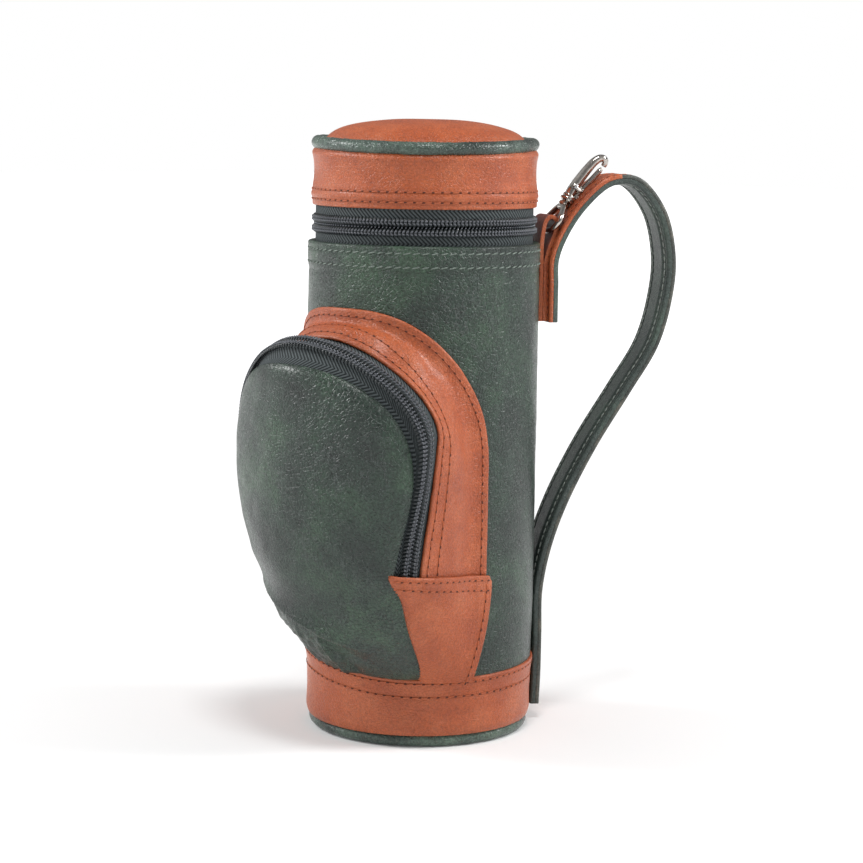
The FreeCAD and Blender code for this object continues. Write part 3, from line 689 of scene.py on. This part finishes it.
# The lid's top is a padded disc with a soft shoulder that dips to the piping.
DOME_LOW = 190.6
DOME_RISE = 9.6
DOME_EDGE = 33.6
dome_r = np.concatenate([np.linspace(0.001, 30, 40), np.linspace(30.4, 33.5, 16)])
dome_z = DOME_LOW + DOME_RISE * (1 - (dome_r / DOME_EDGE) ** 3) ** 0.45
outer_line = np.stack([dome_r, dome_z], 1)[::-1]
inner_line = np.stack([dome_r * 0.965, DOME_LOW - 0.6 + (dome_z - DOME_LOW) * 0.86], 1)
dome_outline = np.vstack([outer_line, inner_line])


def dome_shift(points):
    lift = 0.22 * value_noise(points, 30, 9) * smooth((33 - from_axis(points)) / 8)
    return lift[..., None] * UP + lid_lean(points)


dome = turned("lid_top_leather", dome_outline, TAN, "lid", 200, dome_shift)
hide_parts("lid_top_panel")

# ---- coil zips

PITCH = 1.25
SLIDER_SPAN = (62.0, 97.0)    # heights between which the pouch's slider runs
COIL_PATH = np.array([(2.75, 0.0), (2.65, 0.42), (2.2, 0.70), (1.5, 0.78), (0.95, 0.70),
                      (0.58, 0.40), (0.54, 0.0)])


def coil_turn(side, thickness=0.40, sides=7):
    """One turn of a coil: x along the chain, y across it, z out of it."""
    across, up = COIL_PATH[:, 0] * side, COIL_PATH[:, 1]
    slant = np.linspace(-0.3, 0.3, len(across)) * PITCH
    points = np.stack([slant, across, up], 1)
    along = unit(np.gradient(points, axis=0))
    x = np.broadcast_to(np.array([1.0, 0, 0]), along.shape)
    up_axis = unit(np.cross(along, x))
    x = np.cross(up_axis, along)
    turn = around(sides)
    ring = points[:, None] + thickness * (x[:, None] * np.cos(turn)[None, :, None]
                                          + up_axis[:, None] * np.sin(turn)[None, :, None])
    faces = quads(len(points), sides, False, True, side < 0).tolist()
    return ring.reshape(-1, 3), faces


def zip_row(name, points, normals, side, body, nodes, start=0.5):
    """A row of coils on one side of a line, with the two seams that hold it."""
    verts, faces = coil_turn(side)
    frames = path_frames(points, normals, PITCH, start)
    row = scatter(name, verts, faces, frames, COIL, body)
    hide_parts(*nodes)
    origin, x, y, z = frames
    bead, bead_faces = pill(0.6, 0.27, 1.0, 5, 6)
    height = origin[:, 2]
    free = (origin[:, 0] > -20) | (height < SLIDER_SPAN[0]) | (height > SLIDER_SPAN[1])
    # The seam threads are real parts of a coil zip; their pale grey is also painted highlight for
    # glints on the coils.
    for k, across in enumerate((1.25, 2.1)):
        lean = 0.55 * (1 if k else -1)
        direction = unit(x + lean * y * side)
        sew = scatter("%s_sewing_%d" % (name, k), bead, bead_faces,
                      [part[free] for part in (origin + y * side * across + z * 1.16, direction,
                                               unit(np.cross(z, direction)), z)],
                      COIL_THREAD_GLINT, body)
    # Centre dots: the coils' interlocking heads, their pale grey painted highlight.
    if side > 0:
        bead, bead_faces = pill(0.24, 0.22, 1.0, 5, 6)
        dots = scatter(name + "_dots", bead, bead_faces, (origin + z * 0.55, x, y, z), COIL_DOT_GLINT,
                       body)


# Pale greys of the coil threads and dots: real parts, coloured lighter as painted highlight.
COIL_THREAD_GLINT = plain("coil_thread_glint", (0.05, 0.055, 0.065), (0.15, 0.16, 0.18), 0.6, 0.4, 0.05)
COIL_DOT_GLINT = plain("coil_dot_glint", (0.12, 0.13, 0.15), (0.34, 0.36, 0.40), 0.5, 0.6, 0.05)

ZIP_HEADING = 57.0
ZIP_SPAN = 288.0
MIDDLE = 167.0
line, out = ring_line(35.6, MIDDLE, ZIP_HEADING, ZIP_SPAN, 900)
zip_row("mouth_coil_lower", line, out, -1, "case", ["body_zip_coil"])
zip_row("mouth_coil_upper", line, out, 1, "lid", ["lid_zip_coil"], 0.0)
for name, low, high, body, node in (
        ("mouth_tape_lower", 151.6, 166.4, "case", "body_zip_tape"),
        ("mouth_tape_upper", 167.6, 182.4, "lid", "lid_zip_tape")):
    outline = finer(np.array([(35.0, low), (35.7, low), (35.7, high), (35.0, high)]), 1.0)
    tape = turned(name, outline, TAPE, body, 240, None, ZIP_HEADING, ZIP_SPAN + 1)
    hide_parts(node)

# ---- pouch

FOOT = 56.6              # height at which the wall and the zip start
LOW_COUNT = 46           # points on a straight side
ARCH_COUNT = 150         # points over the arch
LEFT_WIDTH = 0.955       # the left half's width against the right half's
BAND_TOP = 22.0          # where the front's leather comes out of the foot band


def arch_line(width, spring, rise, power, foot, reach_top, reach_side, reach_foot):
    """Line round the pouch, from its right foot over the top to its left foot."""
    k = np.linspace(0, 1, 60)
    z = FOOT + (spring - FOOT) * k
    x = foot + (width - foot) * smooth(k)
    v = reach_foot + (reach_side - reach_foot) * k
    low = resample(np.stack([x, -v, z], 1), LOW_COUNT)
    t = np.linspace(0, math.pi, 400)
    x = width * np.sign(np.cos(t)) * np.abs(np.cos(t)) ** (2 / power)
    z = spring + rise * np.abs(np.sin(t)) ** (2 / power)
    v = reach_side + (reach_top - reach_side) * (1 - (x / width) ** 2)
    over = resample(np.stack([x, -v, z], 1), ARCH_COUNT)
    left = low[::-1] * np.array([-1, 1, 1])
    return np.concatenate([low[:-1], over, left[1:]])


def seam_line(width, spring, rise, power, radius):
    """The same kind of line on a cylinder about the tube's axis."""
    line = arch_line(width, spring, rise, power, width, 0, 0, 0)
    line[:, 1] = -np.sqrt(radius ** 2 - np.minimum(line[:, 0] ** 2, radius ** 2 * 0.999))
    return line


SEAM_LINE = seam_line(37.8, 87.95, 52.6, 2.92, 39.4)
FLANGE_LINE = seam_line(36.1, 87.6, 49.0, 2.85, 39.7)
WALL_EDGE = arch_line(39.2, 103.1, 29.7, 1.77, 36.0, 46.5, 35.5, 39.9)
CHAIN_LINE = arch_line(40.85, 101.7, 29.6, 1.83, 33.6, 57.0, 45.0, 44.1)
PANEL_EDGE = arch_line(38.8, 90.7, 34.0, 2.3, 32.4, 64.0, 48.5, 50.2)

# The left half sits nearer to the tube, most at its low end.
for edge, nearer in ((WALL_EDGE, 3.0), (CHAIN_LINE, 3.4), (PANEL_EDGE, 0.8)):
    edge[:, 1] += nearer * smooth(-edge[:, 0] / 32)
for edge, below, over, inwards in ((CHAIN_LINE, 70, 11, (4.6, 5.0, 0.0)),
                                   (PANEL_EDGE, 74, 14, (2.8, 4.4, 0.0))):
    low_left = smooth((below - edge[:, 2]) / over) * (edge[:, 0] < 0)
    edge += low_left[:, None] * np.array(inwards)
PANEL_EDGE[:, 0] *= np.where(PANEL_EDGE[:, 0] < 0, LEFT_WIDTH, 1.0)


def loft(lines, count):
    """Grid that passes smoothly through several lines of the same number of points."""
    return np.stack([spline([line[k] for line in lines], count) for k in range(len(lines[0]))])


def line_on(grid, distance, sign=1):
    """Line on a grid at a distance from its first column (or its last, with sign -1)."""
    points, normals = [], []
    for row, out in zip(grid[:, ::sign], grid_normals(grid)[:, ::sign]):
        along = travelled(row)
        points.append(sampled(distance, along, row))
        normals.append(sampled(distance, along, out))
    return np.array(points), np.array(normals)


def mixed(a, b, share):
    return a * (1 - share) + b * share


def pushed(points, amount):
    """Moves a line round the pouch outwards from the pouch's middle."""
    middle = np.array([0.0, -30.0, 84.0])
    away = points - middle
    away[:, 1] *= 0.35
    away[:, 2] = np.where(points[:, 2] < 100, 0, away[:, 2])
    return points + unit(away) * amount


wall_middle = pushed(mixed(FLANGE_LINE, WALL_EDGE, 0.5), 0.9)
wall = loft([SEAM_LINE, FLANGE_LINE, wall_middle, WALL_EDGE], 44)
waves = 0.14 * value_noise(wall, 9, 11) + 0.1 * value_noise(wall, 24, 12)
wall += grid_normals(wall) * waves[..., None]
gusset = slab("pouch_wall", wall, 1.3, TAN, "case")
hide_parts("pocket_gusset")
for index, (distance, sign) in enumerate(((1.8, 1), (1.8, -1), (5.9, -1))):
    line, out = line_on(wall, distance, sign)
    stitches("wall_stitches_%d" % index, line, out, TAN_THREAD, "case")

# Pouch zip: two tapes that meet under the chain, and the two rows of coils.
across = unit(WALL_EDGE - PANEL_EDGE)
run = unit(np.gradient(CHAIN_LINE, axis=0))
chain_out = unit(np.cross(run, -across))
for name, line, body, node, sign in (
        ("pouch_tape_inner", WALL_EDGE, "case", "pocket_zip_tape_inner", 1),
        ("pouch_tape_outer", PANEL_EDGE, "pocket_flap", "pocket_zip_tape_outer", -1)):
    far = line + unit(line - CHAIN_LINE) * 1.5 - chain_out * 1.7
    near = CHAIN_LINE + unit(line - CHAIN_LINE) * 0.45
    order = [far, mixed(far, near, 0.5), near]
    grid = loft(order[::sign], 14)
    tape = slab(name, grid, 0.55, TAPE, body)
    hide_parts(node)
zip_row("pouch_coil_outer", CHAIN_LINE, chain_out, 1, "pocket_flap", ["pocket_zip_coil_outer"])
zip_row("pouch_coil_inner", CHAIN_LINE, chain_out, -1, "case", ["pocket_zip_coil_inner"], 0.0)

# Front of the pouch: one piece of leather from the foot band up to the arch.
FOOT_HEADING = 42.8
FOOT_REACH = 36.8
PANEL_COUNT = 150
LOW_EDGE = outward([FOOT_HEADING, 41.0, 37.0, 35.0], [FOOT_REACH, 43.2, 51.7, 55.6],
                   [BAND_TOP, 28.5, 41.0, 51.0])
SHOULDER = LOW_COUNT + ARCH_COUNT // 4
right_side = resample(spline(np.vstack([LOW_EDGE, PANEL_EDGE[4:SHOULDER:6],
                                        PANEL_EDGE[SHOULDER][None]]), 400), 170)
left_side = right_side * np.array([-LEFT_WIDTH, 1, 1])
left_side[:, 1] += 0.8 * smooth((left_side[:, 2] - 50) / 10)
top_line = resample(PANEL_EDGE[SHOULDER:len(PANEL_EDGE) - SHOULDER], PANEL_COUNT)[::-1]
left_side[-1], top_line[-1] = top_line[0], right_side[-1]


def patchwork(first, last, start, end):
    """Coons surface between four lines: rows run from first to last, columns start to end."""
    i = np.linspace(0, 1, len(start))[:, None, None]
    j = np.linspace(0, 1, len(first))[None, :, None]
    return ((1 - i) * first[None] + i * last[None] + (1 - j) * start[:, None] + j * end[:, None]
            - (1 - i) * (1 - j) * first[0] - i * (1 - j) * last[0]
            - (1 - i) * j * first[-1] - i * j * last[-1])


foot_line = outward(np.linspace(-FOOT_HEADING, FOOT_HEADING, PANEL_COUNT), FOOT_REACH, BAND_TOP)
foot_line[0] = left_side[0]
panel = patchwork(left_side, right_side, foot_line, top_line)

# Its middle column bulges to these distances in front of the tube's axis.
REACH_Z = [BAND_TOP, 28.5, 41, 51, 60, 75, 90, 105, 118, 124.7]
REACH_Y = [FOOT_REACH, 44.0, 53.2, 57.8, 60.8, 64.3, 66.0, 66.2, 65.4, 63.9]
column = panel[PANEL_COUNT // 2]
missing = np.interp(column[:, 2], REACH_Z, REACH_Y) + column[:, 1]
missing -= 1.5 * smooth((124 - column[:, 2]) / 9) * smooth((column[:, 2] - BAND_TOP) / 9)
u = np.linspace(-1, 1, PANEL_COUNT)[:, None]
panel[..., 1] -= missing[None] * (1 - u ** 2) ** 0.9
height = panel[..., 2]
above = height - BAND_TOP
tucked = smooth(above / 7) * (1 - smooth((height - 52) / 22)) * smooth(-panel[..., 0] / 30)
panel[..., 1] += 2.6 * tucked
panel[..., 0] += 1.2 * tucked
panel += band_rise(panel) * (1 - smooth(above / 18))[..., None]
border = np.vstack([panel[0], panel[:, -1], panel[-1, ::-1]])
gap = np.full(panel.shape[:2], 1e9)
for k in range(0, len(border), 2):
    gap = np.minimum(gap, np.linalg.norm(panel - border[k], axis=-1))


def ridge(points, line, height, width):
    """Soft crease along a line of (x, z) on the pouch's front: each point's lift."""
    best = np.full(points.shape[:-1], 1e9)
    share = np.zeros(points.shape[:-1])
    steps = 60
    for k, point in enumerate(spline([(x, 0, z) for x, z in line], steps)):
        d = np.linalg.norm((points - point)[..., [0, 2]], axis=-1)
        share = np.where(d < best, k / (steps - 1), share)
        best = np.minimum(best, d)
    fade = np.sin(math.pi * np.clip(share * 0.96 + 0.02, 0, 1)) ** 0.6
    return height * np.exp(-np.sqrt(best ** 2 + 0.3) / width) * fade


rim_height = 1.4 + 0.4 * np.tanh(panel[..., 0] / 12)
lift = rim_height * (1 - np.exp(-gap / 2.0)) + 0.10 * value_noise(panel, 8, 22) * smooth(gap / 5)
lift += 0.40 * value_noise(panel, 34, 21) * smooth(gap / 9)
for line, lifted, width in (
        ([(-28, 51), (-16, 47), (-4, 43.5), (10, 38.5), (18, 35)], 3.4, 1.9),
        ([(-26, 44), (-14, 41), (-4, 38), (6, 34.5), (14, 31)], -2.8, 2.2),
        ([(-3, 39), (1, 33), (3, 23)], 1.8, 1.2), ([(4, 34), (7, 29), (8, 22)], -1.2, 1.5),
        ([(-12, 36), (-10, 30), (-9, 23)], 1.2, 1.2)):
    lift += ridge(panel, line, lifted, width)
wrinkled = smooth((46 - panel[..., 2]) / 12) * smooth((14 - panel[..., 0]) / 14)
lift += 0.35 * value_noise(panel, 4.5, 23) * wrinkled
lift *= smooth((panel[..., 2] - BAND_TOP) / 3.0)
panel = panel + grid_normals(panel) * lift[..., None]
SKIN = 1.2
front = slab("pouch_front", panel, SKIN, GREEN, None)
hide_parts("pocket_panel_lower", "pocket_flap_panel")
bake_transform(front)

# Corner patches: from the tube, over the wall's foot and the zip's end, to the front's edge.
PATCH_FOOT = 21.4
inner_edge = spline(outward([41.4, 39.6, 35.9, 33.9, 32.8, 32.3],
                            [37.0, 42.6, 50.9, 55.1, 59.2, 61.0],
                            [PATCH_FOOT, 28.5, 41.0, 51.0, 57.0, 60.2]), 64)
outer_edge = spline(outward([67.6, 68.8, 71.4, 74.0, 75.6, 76.2],
                            [37.3, 38.9, 39.35, 39.35, 39.35, 39.35],
                            [PATCH_FOOT, 26.0, 33.0, 41.3, 48.8, 55.6]), 64)
wall_foot = wall[0, 6::4] + grid_normals(wall)[0, 6::4] * 1.25
upper = np.vstack([outer_edge[-1], wall_foot, [(35.6, -44.6, 59)], inner_edge[-1]])
upper = spline(upper, 60)
upper[:, 2] = np.linspace(outer_edge[-1, 2], inner_edge[-1, 2], 60)
upper[0], upper[-1] = outer_edge[-1], inner_edge[-1]
lower = outward(np.linspace(67.6, 41.4, 60), np.linspace(37.3, 37.0, 60), PATCH_FOOT)
patch = patchwork(lower, upper, outer_edge, inner_edge)
edge_gap = np.linalg.norm(patch - inner_edge[:, None], axis=-1)
lift = 0.8 * (1 - np.exp(-edge_gap / 1.5)) * smooth(edge_gap[:, :1].max() - edge_gap)
lift = lift + 0.09 * value_noise(patch, 12, 31)
patch = patch + grid_normals(patch) * lift[..., None]
for name, node, mirror in (("patch_right", "pocket_patch_right", 1),
                           ("patch_left", "pocket_patch_left", -1)):
    grid = patch.copy()
    if mirror < 0:
        grid[..., 0] *= -LEFT_WIDTH
        pulled = smooth((grid[..., 2] - 21) / 5) * smooth((-grid[..., 1] - 29) / 12)
        grid += pulled[..., None] * np.array([4.2, 5.2, 0.0])
        low = smooth((40 - grid[..., 2]) / 12) * smooth((-grid[..., 1] - 20) / 8)
        grid += (low * (1 - pulled))[..., None] * np.array([2.0, 2.4, 0.0])
    piece = slab(name, grid, SKIN, TAN, "case", flip=mirror < 0)
    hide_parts(node)
    normals = grid_normals(grid) * mirror
    for index, distance in enumerate((1.0, 4.3)):
        line, _ = line_on(grid.transpose(1, 0, 2), distance, -1)
        out = normals[int(-1 - distance / 0.6)]
        stitches("%s_row_%d" % (name, index), line[2:-1], out[2:-1], TAN_THREAD, "case")
    line, _ = line_on(grid, 2.0)
    stitches("%s_column" % name, line[:-3], normals[:-3, 2], TAN_THREAD, "case")

# ---- strap and folded strip

STRAP_HEADING = 147.0
STRAP_ROUTE = [(39.1, 5.2), (39.5, 16), (39.6, 30), (39.6, 44), (42.2, 58), (47.6, 73.2),
               (57.6, 92.6), (69.6, 111.4), (79.2, 127), (83.6, 142.6), (84.5, 156),
               (80.6, 171.4), (71.6, 181.4), (62.4, 181.6), (53, 174.2), (46.2, 164.6),
               (42.7, 155.6), (42.6, 147), (42.6, 134.6)]
OUT = outward(STRAP_HEADING, 1.0, 0.0)
SIDE = outward(STRAP_HEADING + 90, 1.0, 0.0)


def belt(name, route, section, material, body, count=260):
    """A band of leather: section is (across, away from the route), its outline closed."""
    route = np.array([(r, 0.0, z) for r, z in route])
    line = spline(route, count)
    along = unit(np.gradient(line, axis=0))
    away = np.stack([along[:, 2], along[:, 1] * 0, -along[:, 0]], 1)
    to_world = np.stack([OUT, SIDE * 0, UP])
    centre = line @ to_world
    away = away @ to_world
    section = np.asarray(section, float)
    pts = (centre[:, None] + section[None, :, :1] * SIDE + section[None, :, 1:] * away[:, None])
    rows, cols = pts.shape[:2]
    faces = quads(rows, cols, False, True).tolist()
    faces += [list(range(cols)), list(range((rows - 1) * cols, rows * cols))]
    uv = paired(travelled(line), travelled(section))
    piece = add_mesh(name, pts, faces, material, body, uv, hard=50)
    return piece, centre, away


HALF = 8.0
RIDGE_AT = 5.6


def strap_face(x):
    """Height of the green face: a raised middle, and a low ridge at each seam and edge."""
    middle = 0.55 * (1 - smooth((abs(x) - 3.2) / 1.6))
    edge = 0.28 * np.exp(-((abs(x) - 7.0) / 0.6) ** 2)
    seam = 0.25 * np.exp(-((abs(x) - RIDGE_AT) / 0.4) ** 2)
    return middle + edge + seam


xs = np.linspace(-HALF + 0.35, HALF - 0.35, 60)


def face_between(corner, face):
    """Section that is the same at both edges: a corner, a face, and the corner mirrored."""
    return corner + face + [(-x, y) for x, y in corner[::-1]]


green_section = face_between([(-HALF, -0.05), (-HALF, -1.1), (-HALF + 0.12, -1.5)],
                             [(x, -1.6 - strap_face(x)) for x in xs])
tan_section = face_between(
    [(HALF - 0.1, 0.0), (HALF + 0.08, 0.25), (HALF + 0.02, 1.0), (HALF - 0.35, 1.35)],
    [(x, 1.35 - 0.12 * math.exp(-((abs(x) - RIDGE_AT) / 0.5) ** 2)) for x in xs[::-1]])
inner, centre, away = belt("strap_green_layer", STRAP_ROUTE, green_section, STRAP_GREEN, "case")
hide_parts("strap_inner")
outer, _, _ = belt("strap_tan_layer", STRAP_ROUTE, tan_section, TAN, "case")
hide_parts("strap_outer")
outer.data.materials.append(STRAP_EDGE)
for face in outer.data.polygons:
    reach = (face.center.x * OUT[0] + face.center.y * OUT[1]) / MM
    edge_on = abs(face.normal.x * SIDE[0] + face.normal.y * SIDE[1]) > 0.6
    if edge_on and (reach > 66 or face.center.z < 0.130):
        face.material_index = 1
for index, x in enumerate((-RIDGE_AT, RIDGE_AT)):
    stitches("strap_stitches_%d" % index, centre + SIDE * x - away * 1.82, -away,
             PALE_THREAD, "case", 2.4, 0.36, 0.1, 0.05)
    stitches("strap_outer_stitches_%d" % index, centre + SIDE * x + away * 1.26, away,
             TAN_THREAD, "case", 2.4, 0.28, 0.04)

LOOP_ROUTE = [(38.95, 134.9), (38.95, 146), (38.95, 154), (38.9, 160), (39.4, 164.6), (40.2, 168.0),
              (41.9, 169.5), (43.6, 168.7), (44.1, 166.8), (43.3, 163.4), (41.8, 159.6),
              (40.6, 155), (40.45, 149), (40.45, 134.9)]
w = 5.8      # half the strip's width
t = 0.68     # half its thickness
strip_section = [(-w + 0.1, -t), (-w, -0.3), (-w, 0.3), (-w + 0.1, t), (0, t), (w - 0.1, t),
                 (w, 0.3), (w, -0.3), (w - 0.1, -t), (0, -t)]
strip, _, _ = belt("hook_strip", LOOP_ROUTE, strip_section, TAN, "case", 220)
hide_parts("hook_loop")
# The strip's flat faces get the darker tan as painted shade; its edges stay tan.
strip.data.materials.append(SHADED_TAN)
for face in strip.data.polygons:
    if abs(face.normal.x * SIDE[0] + face.normal.y * SIDE[1]) < 0.5:
        face.material_index = 1

# Swivel hook: its parts lie along a line that leans out from the folded strip.

def in_plane(reach, height):
    return OUT * reach + UP * height


def leaning(degrees):
    """Direction that leans out and up at an angle, and the one square to it."""
    a = math.radians(degrees)
    ahead = in_plane(math.cos(a), math.sin(a))
    return ahead, in_plane(-math.sin(a), math.cos(a))


EYE_AT = in_plane(42.4, 165.0)
EYE_AHEAD, _ = leaning(57)
turn = around(72)
half_wide = 6.9 - 2.6 * smooth((np.cos(turn) + 0.3) / 1.3)
eye_line = (EYE_AT + EYE_AHEAD * (4.6 + 4.9 * np.cos(turn))[:, None]
            + SIDE * (half_wide * np.sign(np.sin(turn)) * np.abs(np.sin(turn)) ** 0.7)[:, None])
eye = tube("hook_ring", eye_line, 1.12, NICKEL, "eye", 16, np.cross(EYE_AHEAD, SIDE), 0.85, True)
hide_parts("hook_eye")

NECK = in_plane(49.4, 174.7)
AHEAD, ABOVE = leaning(50)


def hook_bar(name, line, count, shares, radii, body, sides, squash=1.0):
    """Bar through points given as (ahead, above), with a radius at each share of it."""
    points = spline([NECK + AHEAD * a + ABOVE * n for a, n in line], count)
    thick = np.interp(np.linspace(0, 1, count), shares, radii)
    return tube(name, points, thick, NICKEL, body, sides, ABOVE, squash)


def along_hook(profile, name, body, sides=40):
    """Turned metal along the hook's own axis: profile of (distance, radius)."""
    turn = around(sides)[:, None]
    profile = np.array(profile, float)
    pts = (NECK + AHEAD * profile[None, :, :1] + profile[None, :, 1:] * (
        ABOVE * np.cos(turn)[..., None] + SIDE * np.sin(turn)[..., None]))
    faces = quads(sides, len(profile), True, False).tolist()
    faces.append([k * len(profile) for k in range(sides)])
    faces.append([k * len(profile) + len(profile) - 1 for k in range(sides)])
    piece = add_mesh(name, pts, faces, NICKEL, body, hard=50)


along_hook([(-2.6, 0.5), (-2.6, 1.5), (-2.2, 1.9), (-1.3, 1.9), (-1.0, 1.4), (-0.6, 1.4)],
           "hook_neck", "eye")
along_hook([(-0.7, 0.6), (-0.7, 2.1), (-0.4, 2.6), (0.2, 2.75), (0.5, 2.35), (0.8, 2.3),
            (1.1, 2.6), (1.6, 2.6), (2.0, 2.2), (2.3, 1.2)], "hook_collar", "snap")

# The bow: a spine that swells, narrows and turns down over the nose.
bow = hook_bar("hook_bow", [(1.4, 0.4), (4.0, 0.9), (8.0, 1.25), (12.5, 1.35), (15.8, 1.15),
                            (18.0, 0.35), (18.8, -0.9), (18.0, -2.0), (16.8, -2.3)], 110,
               [0, 0.12, 0.35, 0.6, 0.8, 0.93, 1], [1.9, 1.95, 1.75, 1.6, 1.4, 1.15, 0.9],
               "snap", 20, 0.95)
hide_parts("hook_body")
cheeks = hook_bar("hook_cheek", [(1.2, -0.9), (3.0, -1.35), (5.0, -1.5), (6.6, -1.1)], 40,
                  [0, 0.3, 0.8, 1], [1.3, 1.5, 1.2, 0.7], "snap", 16)
gate = hook_bar("hook_gate_bar", [(5.0, -1.7), (7.5, -1.85), (11.0, -2.05), (14.0, -2.2),
                                  (15.9, -2.3)], 60, [0, 0.06, 0.9, 1], [0.8, 1.15, 1.0, 0.6],
                "gate", 16, 0.9)
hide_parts("hook_gate")
for place in (2.6, 5.6):
    point = NECK + AHEAD * place - ABOVE * 1.7
    rivet = tube("hook_rivet_%d" % (place * 10), [point + SIDE * k for k in (-1.9, -1.7, 1.7, 1.9)],
                 [0.35, 0.62, 0.62, 0.35], NICKEL, "snap", 14, AHEAD)

# ---- floor, light, camera

def turned_to(x, y, z, place):
    """Matrix of an object with these axes at a place."""
    rows = zip(np.stack([x, y, z], 1), place)
    return Matrix([(*row, p) for row, p in rows] + [(0, 0, 0, 1)])


def studio():
    """Pale floor that glows as painted light, faintly near the case and almost white further out, a
    plain white world, and three soft lamps.
    """
    floor_mesh = bpy.data.meshes.new("floor")
    size = 6.0
    floor_mesh.from_pydata([(-size, -size, 0), (size, -size, 0), (size, size, 0), (-size, size, 0)],
                           [], [(0, 1, 2, 3)])
    floor = placed("floor", floor_mesh)
    white = Paint("floor_paper", (0.84, 0.84, 0.84), 0.9, Emission_Color=(1, 1, 1, 1),
                  Specular_IOR_Level=0.0)
    # Painted light: the floor glows, faintly near the case and strongly from about a metre out.
    reach = white.node("VectorMath", {"operation": "LENGTH"}, i0=white.place()).outputs["Value"]
    white.link(white.range(reach, 0.25, 1.3, 0.06, 0.95), "Emission Strength")
    white.bump([(white.noise(40.0, 2.0), 0.01)])
    floor_mesh.materials.append(white.material)
    world = bpy.data.worlds.new("tent")
    tent = Tree(world)
    place = tent.node("TexCoord").outputs["Generated"]
    aside = tent.node("VectorMath", {"operation": "DOT_PRODUCT"}, i0=place,
                      i1=RIGHT).outputs["Value"]
    glow = tent.range(tent.math("MULTIPLY", aside, aside), 0.0, 1.0, 0.22, 1.05)
    seen = tent.node("LightPath").outputs["Is Camera Ray"]
    background = tent.tree.nodes["Background"]
    background.inputs["Color"].default_value = (1, 1, 1, 1)
    tent.tree.links.new(tent.math("MAXIMUM", glow, seen), background.inputs["Strength"])
    bpy.context.scene.world = world
    for name, heading, distance, height, size, power in (
            ("light_left", -54, 0.7, 0.56, 0.28, 4.2), ("light_right", 124, 0.55, 0.50, 0.22, 2.8),
            ("light_top", 46, 0.3, 0.95, 0.2, 3.3)):
        lamp = bpy.data.lights.new(name, "AREA")
        lamp.size = size
        lamp.energy = power
        obj = placed(name, lamp)
        place = outward(heading, distance, height)
        aim = unit(np.array([0, 0, 0.1]) - place)
        side = unit(np.cross(aim, UP))
        up = np.cross(side, aim)
        obj.matrix_world = turned_to(side, up, -aim, place)


def view_from(place, heading, pitch, roll, lens):
    """Camera that looks back along a heading, tilted down by pitch and turned by roll."""
    pitch, roll = math.radians(pitch), math.radians(roll)
    right = outward(heading + 90, 1.0, 0.0)
    forward = outward(heading, -math.cos(pitch), -math.sin(pitch))
    tilted = math.cos(roll) * right + math.sin(roll) * np.cross(right, forward)
    camera = bpy.data.cameras.new("camera")
    camera.lens = lens
    camera.sensor_width = 36.0
    camera.clip_start = 0.01
    obj = placed("camera", camera)
    obj.matrix_world = turned_to(tilted, np.cross(tilted, forward), -forward, place)
    bpy.context.scene.camera = obj


studio()
view_from((0.5012, -0.5766, 0.1999), heading=40.75, pitch=7.59, roll=0.84, lens=96.8)
bpy.context.scene.view_settings.view_transform = "Standard"
